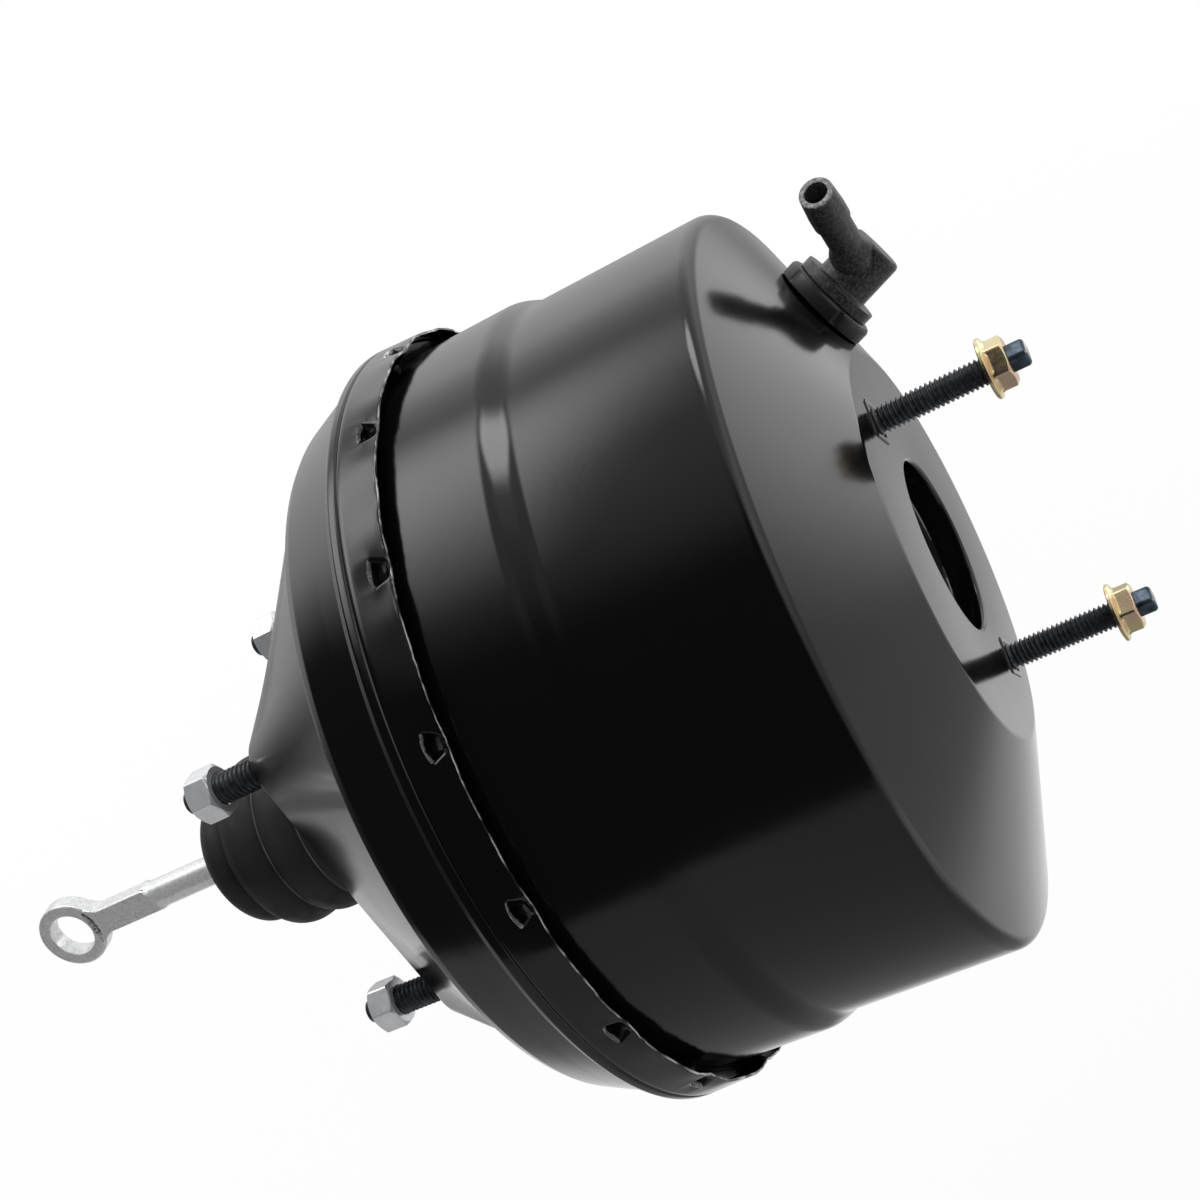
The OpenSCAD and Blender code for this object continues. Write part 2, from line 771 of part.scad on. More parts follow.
// A rubber skin that lies on a plate's rear side, runs out in a rolling fold
// and ends at the piston in a thicker ring
module diaphragm(line, fold, ring_t, hub_r) {
    face = shifted(line, seat_gap);
    front = concat(rounded(concat(fold, [face[0]])), [for (i = [1 : len(face) - 1]) face[i]]);
    end_x = front[len(front) - 1][0];
    turned(concat(front, reversed(shifted(front, skin_t))));
    ring(end_x - ring_t, end_x, hub_r + seat_fit, hub_r + ring_w);
}

// Primary diaphragm, its outer bead clamped between the rear shell and the divider
module primary_diaphragm() {
    skin_x = primary_bead_x + 2 * bead_h / 3;
    skin_r = bead_in_r + bead_cut;
    rise_r = bead_in_r - 1.4 * bead_h;
    fold_x = primary_rim_x + plate_lip + fold_reach / 2;
    roll_r = primary_rim_r + 6 * skin_t;
    color(rubber_black) {
        diaphragm(primary_line, [[skin_x, skin_r], [skin_x, rise_r, 2 * skin_t],
            [fold_x, roll_r, fold_reach / 2], [fold_x, primary_rim_r + seat_gap, 2 * skin_t]],
            primary_ring_t, tail_r);
        turned(bead(primary_bead_x, bead_front_x - seat_gap, bead_in_r, flange_r, bead_cut));
    }
}

// Steel support plate of the primary diaphragm
module primary_plate()
    color(raw_steel) plate(primary_line);

// Secondary diaphragm, its outer bead seated between the divider and the front shell's step
module secondary_diaphragm() {
    bead_in = secondary_bead_r - secondary_bead_w;
    skin_x = secondary_bead_x + skin_t / 2;
    skin_r = bead_in + skin_t / 2;
    fold_x = secondary_rim_x + plate_lip + fold_reach;
    color(rubber_black) {
        diaphragm(secondary_line, [[skin_x, skin_r], [fold_x, skin_r, fold_bend],
            [fold_x, secondary_rim_r + seat_gap, fold_bend]], secondary_ring_t, sleeve_r);
        turned(bead(secondary_bead_x, secondary_bead_x + secondary_bead_h, bead_in,
            secondary_bead_r, secondary_bead_cut));
    }
}

// Steel support plate of the secondary diaphragm
module secondary_plate()
    color(raw_steel) plate(secondary_line);

// Return spring between the secondary plate and the front shell
module return_spring()
    color(raw_steel) coil(secondary_x + seat_gap, pad_x - wall - seat_gap, return_coil_r,
        return_wire_r, return_turns, coil_rings, coil_sides);

// Power piston that carries both plates and holds the valve
module power_piston() {
    color(piston_grey) difference() {
        turned([[-tail_len, 0], [-tail_len, tail_r - tail_cut], [tail_cut - tail_len, tail_r],
            [primary_x, tail_r], [primary_x, sleeve_r], [secondary_x, sleeve_r],
            [secondary_x, hub_flange_r], [hub_front_x, hub_flange_r], [hub_front_x, hub_nose_r],
            [nose_x, hub_nose_r], [nose_x, 0]]);
        bar(-tail_len - eps, chamber_x, tail_bore_r, round_fn);
        difference() {
            bar(chamber_x - eps, web_x, chamber_r, round_fn);
            ring(vacuum_seat_x, web_x + eps, vacuum_seat_r, vacuum_seat_r + vacuum_seat_w);
        }
        bar(web_x - eps, reaction_x + eps, plunger_bore_r, round_fn);
        bar(reaction_x, nose_x + eps, reaction_bore_r, round_fn);
        for (a = [45 : 90 : 315])
            rotate([a, 0, 0]) translate([0, 0, port_ring_r])
                bar(web_x - eps, reaction_x + eps, port_r);
        bar(clip_x - part_gap, reaction_x + eps, clip_r + part_gap);
    }
}

// Nylon bearing in the neck, guiding the piston's tail
module rear_bearing()
    color(plastic_black) ring(neck_depth / 2, neck_depth - 1, tail_r + run_fit, neck_r - seat_fit);

// Rubber seal behind the bearing
module rear_seal() {
    seat = neck_r - seat_fit;
    run = tail_r + run_fit;
    front = neck_depth / 2 - seat_gap;
    lip = front - rear_lip_len;
    color(rubber_black) turned([[rear_seal_x, seat], [rear_seal_x, neck_r - rear_seal_t],
        [lip - rear_lip_len, tail_r + rear_lip_t], [lip, run], [front, run], [front, seat]]);
}

// Spring clip on the plunger's front end that stops it against the piston's web
module plunger_clip() {
    grip = groove_r - clip_grip - seat_fit;
    color(raw_steel) difference() {
        ring(clip_x, clip_x + clip_t, groove_r + seat_fit, clip_r);
        translate([clip_x - eps, -grip, -clip_r - eps]) cube([clip_t + 2 * eps, 2 * grip, clip_r]);
    }
}

// Air valve plunger with the socket for the input rod's ball
module air_valve_plunger() {
    groove_a = clip_x - seat_fit;
    groove_b = clip_x + clip_t + seat_fit;
    skirt_x = web_x - valve_travel - part_gap;
    socket_r = ball_r + ball_fit;
    color(zinc_silver) difference() {
        turned([[air_seat_x, 0], [air_seat_x, air_seat_r], [skirt_x, air_seat_r],
            [skirt_x, plunger_r], [groove_a, plunger_r], [groove_a, groove_r],
            [groove_b, groove_r], [groove_b, plunger_r], [plunger_tip_x - plunger_cut, plunger_r],
            [plunger_tip_x, plunger_r - plunger_cut], [plunger_tip_x, 0]]);
        turned(concat([[air_seat_x - eps, 0], [air_seat_x - eps, ball_r + socket_mouth]],
            ball_arc(socket_r, 180 - asin((ball_r - socket_lip) / socket_r))));
    }
}

// Round outline of a ball from an angle down to its front end on the axis
function ball_arc(r, from) =
    [for (i = [0 : ball_steps]) let (a = from * (1 - i / ball_steps))
        [ball_x + r * cos(a), r * sin(a)]];

// Input push rod: ball, round rod, spring collar, flat shank and the pedal pin's eye
module input_pushrod() {
    shank_x = round_len - shank_lap;
    half = shank_w / 2;
    side = [[-shank_x, half - shank_cut], [-shank_x - shank_slope, half],
        [-eye_x + eye_out_r + eye_flare, half], [-eye_x + eye_neck, eye_out_r - eye_side],
        [-eye_x, eye_out_r - eye_side]];
    color(zinc_silver) difference() {
        union() {
            turned(concat([[-round_len, 0], [-round_len, rod_r], [-collar_x - collar_t, rod_r],
                [-collar_x - collar_t, collar_r], [-collar_x, collar_r], [-collar_x, rod_r],
                [rod_end_x, rod_r], [rod_end_x, rod_neck_r]],
                ball_arc(ball_r, 180 - asin(rod_neck_r / ball_r))));
            rotate([eye_turn, 0, 0]) {
                translate([0, eye_t / 2, 0]) rotate([90, 0, 0]) linear_extrude(height = eye_t)
                    polygon(concat(side, [for (p = reversed(side)) [p[0], -p[1]]]));
                translate([-eye_x, eye_t / 2, 0]) rotate([90, 0, 0])
                    cylinder(h = eye_t, r = eye_out_r, $fn = round_fn);
            }
        }
        rotate([eye_turn, 0, 0]) translate([-eye_x, eye_t, 0]) rotate([90, 0, 0])
            cylinder(h = 2 * eye_t, r = eye_r, $fn = round_fn);
    }
}

// Rubber poppet that closes on the vacuum seat and on the plunger
module poppet_valve() {
    face = air_seat_x - part_gap;
    bead_x = chamber_x + seat_gap;
    seat = chamber_r - seat_fit;
    wall_r = poppet_wall_r + poppet_wall_t;
    color(rubber_black) turned([[bead_x, poppet_bead_r], [bead_x, seat],
        [chamber_x + poppet_bead_h, seat], [chamber_x + poppet_bead_h, wall_r],
        [face - poppet_step, wall_r - poppet_wall_t / 2], [face, poppet_out_r],
        [face, poppet_in_r], [face - poppet_t, poppet_in_r],
        [face - poppet_t, poppet_wall_r - poppet_wall_t / 4],
        [chamber_x + poppet_bead_h - cup_t, poppet_wall_r]]);
}

// Pressed cup that holds the poppet and carries both small springs
module poppet_retainer() {
    seat = tail_bore_r - seat_fit;
    mouth = chamber_x - seat_gap;
    inside = seat - cup_wall_t;
    color(raw_steel) turned([[retainer_x, cup_in_r], [retainer_x, seat], [mouth, seat],
        [mouth, cup_mouth_r], [mouth - cup_t, cup_mouth_r], [mouth - cup_t, inside],
        [retainer_x + cup_t, inside], [retainer_x + cup_t, cup_in_r]]);
}

// Small spring that presses the poppet on its seats
module poppet_spring()
    color(raw_steel) coil(retainer_x + cup_t + seat_gap,
        air_seat_x - part_gap - poppet_t - seat_gap, poppet_spring_r,
        small_wire_r, small_turns, small_rings, small_sides);

// Spring that returns the input rod and the plunger
module valve_return_spring()
    color(raw_steel) coil(-collar_x + seat_gap, retainer_x - seat_gap, valve_spring_r,
        small_wire_r, small_turns, small_rings, small_sides);

// Foam ring that cleans the air on its way in
module air_filter() {
    back = filter_gap - tail_len;
    color(rubber_black)
        ring(back, back + filter_len, rod_r + filter_fit, tail_bore_r - seat_fit);
}

// Rubber disc that shares the load between the piston and the plunger
module reaction_disc()
    color(rubber_black) bar(reaction_x + seat_gap, head_x - seat_gap, reaction_bore_r - seat_fit,
        round_fn);

// Output push rod with its head on the reaction disc
module output_pushrod() {
    socket_x = pad_x - tip_recess - screw_len;
    edge_r = reaction_bore_r - run_fit - output_head_fit;
    head_end = head_x + output_head_h;
    color(zinc_silver) difference() {
        turned([[head_x, 0], [head_x, edge_r], [head_end, edge_r],
            [head_end, output_r + output_shoulder_w], [head_end + output_shoulder_h, output_r],
            [socket_x + screw_out, output_r], [socket_x + screw_out, 0]]);
        bar(socket_x - screw_out, socket_x + screw_out + eps, screw_r);
    }
}

// Spring steel washer that keeps the push rod's head in its bore
module pushrod_retainer() {
    a = head_x + output_head_h + seat_gap;
    color(raw_steel) difference() {
        ring(a, a + washer_t, output_r + washer_w, reaction_bore_r - seat_fit);
        for (k = [0 : washer_slots - 1])
            rotate([k * 360 / washer_slots, 0, 0])
                translate([a - eps, reaction_bore_r - slot_in, -slot_w / 2])
                    cube([washer_t + 2 * eps, 2 * slot_in, slot_w]);
    }
}

// Adjusting screw in the end of the output rod
module adjusting_screw() {
    tip = pad_x - tip_recess;
    socket_x = tip - screw_len;
    hex_x = socket_x + screw_out + seat_gap;
    hex_end = hex_x + adjuster_h;
    color(zinc_silver) {
        bar(socket_x - screw_in, hex_x, screw_r - seat_fit);
        translate([hex_x, 0, 0]) rotate([0, 90, 0])
            cylinder(h = adjuster_h, r = adjuster_r, $fn = 6);
        turned([[hex_end - seat_gap, 0], [hex_end - seat_gap, tip_r], [tip - tip_cut, tip_r],
            [tip - tip_cut / 3, tip_r - tip_round], [tip, tip_round], [tip, 0]], small_fn);
    }
}

// Rubber seal behind the pilot neck, running on the output rod
module front_seal() {
    back = pad_x - pilot_depth;
    web = back - front_lip_x;
    face = back - 2 * seat_gap;
    run = output_r + run_fit;
    cup_r = pilot_r + wall + seat_fit;
    color(rubber_black) turned([[web - front_lip_len, run], [face - front_cut / 2, run],
        [face, run + front_cut], [face, front_wall_r - 2 * front_cut],
        [face - front_cut, front_wall_r - front_cut], [web + front_web_t, front_wall_r],
        [web + front_web_t, pilot_r - front_lip_w - front_cut],
        [back - seat_gap, pilot_r - front_lip_w], [back - seat_gap, cup_r],
        [back + front_rim_h, cup_r], [back + front_rim_h, cup_r + front_rim_t],
        [web, cup_r + front_rim_t], [web, front_wall_r], [web - front_lip_len, front_lip_r]]);
}

// Bellows boot between the firewall face and the input rod
module boot() {
    tip_x = -boot_len;
    dome_x = tip_x + dome_len;
    valley_x = dome_x + fold_rise;
    first_x = valley_x + fold_pitch * 0.7;
    crease_x = first_x + fold_pitch * 0.65;
    second_x = crease_x + fold_pitch * 0.35;
    spigot_r = neck_r - seat_fit;
    foot_r = spigot_r - boot_t - boot_foot_t;
    path = [[tip_x, rod_r + boot_foot_t], [tip_x + boot_tip_h, rod_r + boot_tip_w, tight_bend],
        [dome_x - dome_slope, dome_slope_r, dome_bend],
        [dome_x, dome_r - boot_foot_t, soft_bend], [dome_x + tight_bend, dome_r, tight_bend],
        [valley_x, dome_r - crease_bend, crease_bend],
        [first_x - fold_rise, fold_r - boot_lip, soft_bend], [first_x, fold_r, fold_round],
        [crease_x, valley_r, crease_bend], [second_x, fold_r, fold_round],
        [second_x + fold_pitch / 2, valley_r, soft_bend], [-seat_gap, valley_r + 2 * seat_gap]];
    outer = rounded(path);
    grip_x = tip_x + boot_grip;
    inner = [for (p = shifted(outer, boot_t)) if (p[0] < -2 * boot_foot_x && p[0] > grip_x) p];
    color(rubber_black)
        turned(concat([[tip_x - boot_lip, rod_r + seat_fit],
            [tip_x - boot_lip, rod_r + boot_lip_r]], outer, [[-seat_gap, spigot_r],
            [boot_spigot, spigot_r], [boot_spigot, foot_r], [-boot_foot_x, foot_r]],
            reversed(inner), [[grip_x, rod_r + seat_fit]]));
}

// A stud along the axis: head, pressed neck, plain foot and thread, drawn from its seat
module stud(r, pitch_r, plain, length, head_in) {
    knurl_r = r + knurl_grow;
    turned([[-head_in - head_h, 0], [-head_in - head_h, head_r], [-head_in - head_cut, head_r],
        [-head_in, head_r - head_cut], [-head_in, knurl_r], [-seat_fit, knurl_r],
        [-seat_fit, r], [plain - thread_runout, r], [plain, pitch_r],
        [length - point_len, pitch_r], [length, pitch_r - point_len], [length, 0]], small_fn);
}

// Four studs for the firewall
module firewall_studs()
    color(oxide_black) for (s = rear_studs)
        translate([0, s[0], s[1]]) rotate([0, 180, 0])
            stud(rear_stud_r, rear_pitch_r, rear_plain, rear_stud_len, wall + seat_gap);

// Plain hexagon nuts on the firewall studs
module firewall_nuts()
    color(zinc_silver) for (s = rear_studs)
        translate([-rear_nut_gap, s[0], s[1]]) rotate([0, -90, 0])
            nut(rear_nut_af, rear_nut_h, rear_pitch_r + seat_fit);

// A hexagon nut with both its ends chamfered
module nut(af, h, bore) {
    corner = af / 2 / cos(30);
    difference() {
        intersection() {
            cylinder(h = h, r = corner, $fn = 6);
            rotate_extrude($fn = small_fn) polygon([[0, 0], [af / 2, 0], [corner, nut_cut],
                [corner, h - nut_cut], [af / 2, h], [0, h]]);
        }
        translate([0, 0, -eps]) cylinder(h = h + 2 * eps, r = bore, $fn = small_fn);
    }
}

// Two studs for the master cylinder, with their drive ends
module master_cylinder_studs()
    color(oxide_black) for (s = front_studs)
        translate([pad_x, s[0], s[1]]) {
            stud(front_stud_r, front_pitch_r, front_plain, front_stud_len, wall + seat_gap);
            translate([front_stud_len - eps, 0, 0]) rotate([drive_turn, 0, 0])
                translate([0, -drive_w / 2, -drive_w / 2]) cube([drive_len + eps, drive_w, drive_w]);
        }

// Flange nuts on the master cylinder studs
module master_cylinder_nuts() {
    slope_h = nut_flange_h + nut_flange_slope;
    hex_h = front_nut_h - nut_flange_h / 2;
    color(zinc_yellow) for (s = front_studs)
        translate([pad_x + front_nut_gap, s[0], s[1]]) rotate([0, 90, 0]) difference() {
            union() {
                rotate_extrude($fn = small_fn) polygon([[0, 0], [front_nut_flange_r, 0],
                    [front_nut_flange_r, nut_flange_h / 2], [front_nut_af / 2, slope_h],
                    [0, slope_h]]);
                translate([0, 0, nut_flange_h / 2]) nut(front_nut_af, hex_h, front_pitch_r / 2);
            }
            translate([0, 0, -eps])
                cylinder(h = front_nut_h + 2 * eps, r = front_pitch_r + seat_fit, $fn = small_fn);
        }
}

// Places its children on the cone with +Z along the check valve
module at_valve()
    rotate([-valve_angle, 0, 0]) translate([valve_x, 0, valve_r])
        rotate([0, 90 - cone_angle, 0]) children();

// Grommet that holds the check valve in the front shell
module valve_grommet() {
    bore = stem_r + run_fit;
    hole = grommet_hole_r - seat_fit;
    grip = grommet_hole_r + grommet_grip;
    tail = -grommet_under - grommet_tail;
    color(rubber_black) at_valve() difference() {
        rotate_extrude($fn = round_fn) polygon([[bore, tail], [grommet_hole_r + grommet_tail_r, tail],
            [grip, -grommet_under - grommet_step], [grip, -grommet_under], [hole, -grommet_under],
            [hole, seat_gap], [grommet_r, seat_gap], [grommet_r, grommet_h - grommet_step],
            [grommet_r - grommet_step, grommet_h], [bore, grommet_h]]);
        for (k = [0 : grommet_ribs - 1])
            rotate([0, 0, k * 360 / grommet_ribs]) translate([grommet_r, 0, rib_foot])
                cylinder(h = grommet_h, r = rib_r, $fn = rib_fn);
    }
}

// Check valve: stem, disc, body and hose nipple
module check_valve_body() {
    disc_top = disc_h + valve_disc_t;
    barb_h = nipple_len - barb_len;
    color(plastic_black) at_valve() difference() {
        union() {
            rotate_extrude($fn = round_fn) polygon([[0, -stem_len], [stem_r - stem_cut, -stem_len],
                [stem_r, stem_point - stem_len], [stem_r, disc_h - stem_step],
                [stem_r + stem_cut, disc_h], [valve_disc_r, disc_h], [valve_disc_r, disc_top],
                [elbow_r, disc_top], [elbow_r, elbow_top - elbow_cut],
                [elbow_r - elbow_cut, elbow_top], [0, elbow_top]]);
            nipple_frame() rotate_extrude($fn = small_fn) polygon([[0, 0], [nipple_r, 0],
                [nipple_r, barb_h], [barb_r, barb_h + barb_step], [barb_r, barb_h + barb_flat],
                [nipple_r + barb_root, nipple_len - nipple_point],
                [nipple_r - nipple_cut, nipple_len], [0, nipple_len]]);
        }
        translate([0, 0, -stem_len - eps])
            cylinder(h = disc_seat_h + stem_len + eps, r = stem_hole_r, $fn = small_fn);
        translate([0, 0, disc_seat_h])
            cylinder(h = chamber_top - disc_seat_h, r = disc_r + disc_fit, $fn = small_fn);
        nipple_frame() cylinder(h = nipple_len + eps, r = nipple_hole_r, $fn = small_fn);
    }
}

// Places its children at the nipple's root with +Z along the nipple
module nipple_frame()
    translate([0, 0, nipple_h]) rotate([0, 0, nipple_angle]) rotate([0, 90 - nipple_rise, 0])
        children();

// Rubber disc that closes the check valve
module check_disc()
    color(rubber_black) at_valve() translate([0, 0, disc_seat_h + seat_gap])
        cylinder(h = disc_t, r = disc_r, $fn = small_fn);

// Light spring that holds the disc on its seat
module check_spring()
    color(raw_steel) at_valve() rotate([0, -90, 0])
        coil(disc_seat_h + disc_t + 2 * seat_gap, chamber_top - seat_gap, check_coil_r,
            check_wire_r, check_turns, small_rings, small_sides);

front_shell();
rear_shell();
divider_plate();
divider_seal();
primary_diaphragm();
primary_plate();
secondary_diaphragm();
secondary_plate();
return_spring();
power_piston();
rear_bearing();
rear_seal();
plunger_clip();
air_valve_plunger();
input_pushrod();
poppet_valve();
poppet_retainer();
poppet_spring();
valve_return_spring();
air_filter();
reaction_disc();
output_pushrod();
pushrod_retainer();
adjusting_screw();
front_seal();
boot();
firewall_studs();
firewall_nuts();
master_cylinder_studs();
master_cylinder_nuts();
valve_grommet();
check_valve_body();
check_disc();
check_spring();
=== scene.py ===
import json
import math

import bmesh
import bpy
import numpy as np
from mathutils import Matrix, Vector

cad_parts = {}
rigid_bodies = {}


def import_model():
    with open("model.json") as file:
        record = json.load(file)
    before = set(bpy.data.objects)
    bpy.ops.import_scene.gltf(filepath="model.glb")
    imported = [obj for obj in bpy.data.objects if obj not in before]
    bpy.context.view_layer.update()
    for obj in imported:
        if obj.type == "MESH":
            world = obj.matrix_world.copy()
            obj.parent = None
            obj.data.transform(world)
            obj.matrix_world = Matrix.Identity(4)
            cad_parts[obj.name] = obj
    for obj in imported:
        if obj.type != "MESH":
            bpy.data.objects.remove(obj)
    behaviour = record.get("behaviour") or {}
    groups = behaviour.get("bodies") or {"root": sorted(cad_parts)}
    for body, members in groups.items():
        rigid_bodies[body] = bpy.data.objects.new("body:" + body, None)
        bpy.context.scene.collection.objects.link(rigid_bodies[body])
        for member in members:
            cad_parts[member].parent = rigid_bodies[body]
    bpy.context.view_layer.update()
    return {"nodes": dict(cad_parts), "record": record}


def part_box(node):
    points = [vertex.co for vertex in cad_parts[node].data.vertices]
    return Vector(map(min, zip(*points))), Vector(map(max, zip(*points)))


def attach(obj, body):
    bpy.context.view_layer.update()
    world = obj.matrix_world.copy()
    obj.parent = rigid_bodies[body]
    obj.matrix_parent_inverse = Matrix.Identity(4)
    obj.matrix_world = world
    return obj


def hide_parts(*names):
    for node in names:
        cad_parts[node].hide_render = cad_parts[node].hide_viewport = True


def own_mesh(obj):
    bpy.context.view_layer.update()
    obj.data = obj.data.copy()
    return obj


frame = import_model()
MM = 0.001
TURN = 2 * math.pi

# Boxes of the CAD nodes that the pieces are fitted to, in metres
FRONT_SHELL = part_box("front_shell")
REAR_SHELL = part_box("rear_shell")
PAD_X = FRONT_SHELL[1][0]
LIP_X = REAR_SHELL[1][0]
FRONT_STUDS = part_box("master_cylinder_studs")
REAR_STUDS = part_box("firewall_studs")
FRONT_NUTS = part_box("master_cylinder_nuts")
REAR_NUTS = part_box("firewall_nuts")


def linked(name, data):
    """A new object in the scene."""
    obj = bpy.data.objects.new(name, data)
    bpy.context.scene.collection.objects.link(obj)
    return obj


# Camera at the photograph's viewing angle
def set_camera():
    place = Vector((0.28465, -0.46872, 0.26255))
    right = Vector((0.85752, 0.07769, -0.50855))
    up = Vector((0.38450, 0.55997, 0.73389))
    back = right.cross(up)
    data = bpy.data.cameras.new("camera")
    data.sensor_width = 36
    data.lens = 57.849
    data.shift_x = -0.0187
    data.shift_y = 0.0549
    data.clip_start = 0.01
    data.clip_end = 100
    camera = linked("camera", data)
    turn = Matrix((right, up, back)).transposed().to_4x4()
    camera.matrix_world = Matrix.Translation(place) @ turn
    bpy.context.scene.camera = camera


# Shader helpers
class Nodes:
    """Short calls that build the node tree of a material or a world."""

    def __init__(self, tree):
        self.tree = tree

    def set(self, node, values):
        for name, value in values.items():
            if isinstance(value, bpy.types.NodeSocket):
                self.tree.links.new(value, node.inputs[name])
            else:
                node.inputs[name].default_value = value

    def node(self, kind, values=(), **settings):
        node = self.tree.nodes.new("ShaderNode" + kind)
        for name, value in settings.items():
            setattr(node, name, value)
        self.set(node, dict(values))
        return node

    def math(self, operation, *values):
        return self.node("Math", dict(enumerate(values)), operation=operation).outputs[0]

    def map(self, value, from_min, from_max, to_min, to_max, kind="LINEAR"):
        node = self.node("MapRange", {"Value": value, "From Min": from_min, "From Max": from_max,
                                      "To Min": to_min, "To Max": to_max},
                         interpolation_type=kind)
        return node.outputs[0]

    def ramp(self, value, stops):
        node = self.node("ValToRGB", {"Fac": value})
        elements = node.color_ramp.elements
        while len(elements) < len(stops):
            elements.new(0.5)
        for element, (place, colour) in zip(elements, stops):
            element.position = place
            element.color = (*colour, 1)
        return node.outputs[0]

    def seen_directly(self):
        """1 for camera, glossy and transmission rays, 0 for others."""
        path = self.node("LightPath").outputs
        seen = self.math("MAXIMUM", path["Is Camera Ray"], path["Is Glossy Ray"])
        return self.math("MAXIMUM", seen, path["Is Transmission Ray"])


class Shader(Nodes):
    """A Principled material whose constant values sit on the shader's own sockets."""

    def __init__(self, name, colour, roughness, metallic=0.0, **values):
        self.material = bpy.data.materials.new(name)
        self.material.use_nodes = True
        super().__init__(self.material.node_tree)
        self.main = self.tree.nodes["Principled BSDF"]
        self.set(self.main, {"Base Color": (*colour, 1), "Roughness": roughness,
                             "Metallic": metallic})
        self.set(self.main, {k.replace("_", " "): v for k, v in values.items()})
        self.material.diffuse_color = (*colour, 1)
        self.coordinates = self.node("TexCoord").outputs["Object"]
        self.normal = None

    def noise(self, scale, detail, stretch=(1, 1, 1)):
        spread = self.node("Mapping", {"Vector": self.coordinates, "Scale": stretch})
        noise = self.node("TexNoise", {"Vector": spread.outputs[0], "Scale": scale,
                                       "Detail": detail})
        return noise.outputs[0]

    def tint(self, scale, detail, stops):
        """Base colour that wanders along a ramp of (place, colour) stops."""
        self.set(self.main, {"Base Color": self.ramp(self.noise(scale, detail), stops)})

    def rough(self, scale, detail, low, high):
        """Roughness that wanders from low to high."""
        wander = self.map(self.noise(scale, detail), 0.3, 0.7, low, high)
        self.set(self.main, {"Roughness": wander})

    def bump(self, scale, detail, distance, strength, stretch=(1, 1, 1)):
        """Adds bumps of a height given in metres to those there are."""
        values = {"Height": self.noise(scale, detail, stretch), "Distance": distance,
                  "Strength": strength}
        if self.normal is not None:
            values["Normal"] = self.normal
        self.normal = self.node("Bump", values).outputs[0]
        self.set(self.main, {"Normal": self.normal})


def grey(level):
    return level, level, level


def gloss_black_paint():
    """Gloss paint on pressed steel: soft reflections, faint waves and a fine grain."""
    s = Shader("gloss_black_paint", (0.0028, 0.0028, 0.003), 0.13, IOR=1.5)
    s.rough(35, 2, 0.11, 0.16)
    s.bump(28, 1, 0.00030, 0.30)
    s.bump(420, 2, 0.00002, 0.5)
    return s.material


def thin_black_paint():
    """Painted shade: a rougher near-black that stands in for the shade inside the open slit of a
    crimp.
    """
    s = Shader("thin_black_paint", (0.006, 0.006, 0.0065), 0.22, IOR=1.5)
    s.rough(300, 3, 0.16, 0.32)
    s.bump(650, 3, 0.00006, 0.6)
    return s.material


def torn_steel():
    """Bare steel where a crimp tore the lip."""
    s = Shader("torn_steel", (0.78, 0.78, 0.79), 0.3, 0.8)
    s.rough(1500, 4, 0.15, 0.45)
    s.bump(1800, 4, 0.0001, 0.8)
    return s.material


def worn_edge():
    """Paint rubbed through to steel here and there along a sheared edge; on the pilot neck's inner
    end the same light grey is a painted highlight.
    """
    s = Shader("worn_edge", grey(0.2), 0.35, 0.3)
    s.tint(170, 5, [(0.42, grey(0.03)), (0.50, grey(0.25)), (0.60, (0.70, 0.70, 0.71))])
    s.bump(1200, 3, 0.00005, 0.7)
    return s.material


def boot_rubber():
    s = Shader("boot_rubber", (0.016, 0.016, 0.017), 0.62, IOR=1.45)
    s.tint(60, 5, [(0.3, (0.009, 0.009, 0.010)), (0.7, (0.018, 0.018, 0.019))])
    s.rough(240, 4, 0.52, 0.74)
    s.bump(1400, 3, 0.00006, 0.7)
    s.bump(90, 2, 0.0002, 0.25)
    return s.material


def crease_rubber():
    """Painted highlight: lighter grey rubber along the sharp line of a fold, standing in for a
    glint there.
    """
    s = Shader("crease_rubber", grey(0.07), 0.55, IOR=1.45)
    s.tint(120, 3, [(0.35, grey(0.04)), (0.65, grey(0.10))])
    s.bump(1400, 3, 0.00004, 0.6)
    return s.material


def seal_rubber():
    s = Shader("seal_rubber", (0.010, 0.010, 0.011), 0.42, IOR=1.48)
    s.rough(260, 3, 0.34, 0.55)
    s.bump(1100, 3, 0.00005, 0.6)
    return s.material


def moulded_plastic(name, colour, roughness):
    s = Shader(name, colour, roughness, IOR=1.5)
    s.rough(180, 3, roughness * 0.85, roughness * 1.25)
    s.bump(2200, 3, 0.00003, 0.7)
    return s.material


def speckled_plastic(name, dark, light):
    """Moulded plastic with a fine light speckle of wear and dust."""
    s = Shader(name, dark, 0.42, IOR=1.5)
    s.tint(1300, 4, [(0.42, dark), (0.62, light)])
    s.rough(300, 3, 0.36, 0.5)
    s.bump(2200, 3, 0.00004, 0.8)
    return s.material


def black_oxide():
    s = Shader("black_oxide", (0.016, 0.017, 0.020), 0.34, 0.35, IOR=1.6)
    s.tint(500, 4, [(0.35, (0.018, 0.019, 0.023)), (0.7, (0.055, 0.060, 0.070))])
    s.rough(800, 3, 0.26, 0.46)
    s.bump(2500, 3, 0.00003, 0.5)
    return s.material


def blued_steel():
    s = Shader("blued_steel", (0.045, 0.062, 0.085), 0.32, 0.7)
    s.tint(300, 4, [(0.3, (0.020, 0.028, 0.040)), (0.7, (0.075, 0.100, 0.135))])
    s.rough(700, 3, 0.25, 0.42)
    s.bump(2000, 3, 0.00003, 0.6)
    return s.material


def bright_zinc():
    """Bright zinc plate, a little cloudy."""
    s = Shader("bright_zinc", (0.80, 0.81, 0.83), 0.22, 0.6)
    s.tint(300, 5, [(0.3, (0.74, 0.75, 0.77)), (0.7, (0.86, 0.87, 0.89))])
    s.rough(500, 4, 0.16, 0.26)
    s.bump(1800, 3, 0.00001, 0.4)
    return s.material


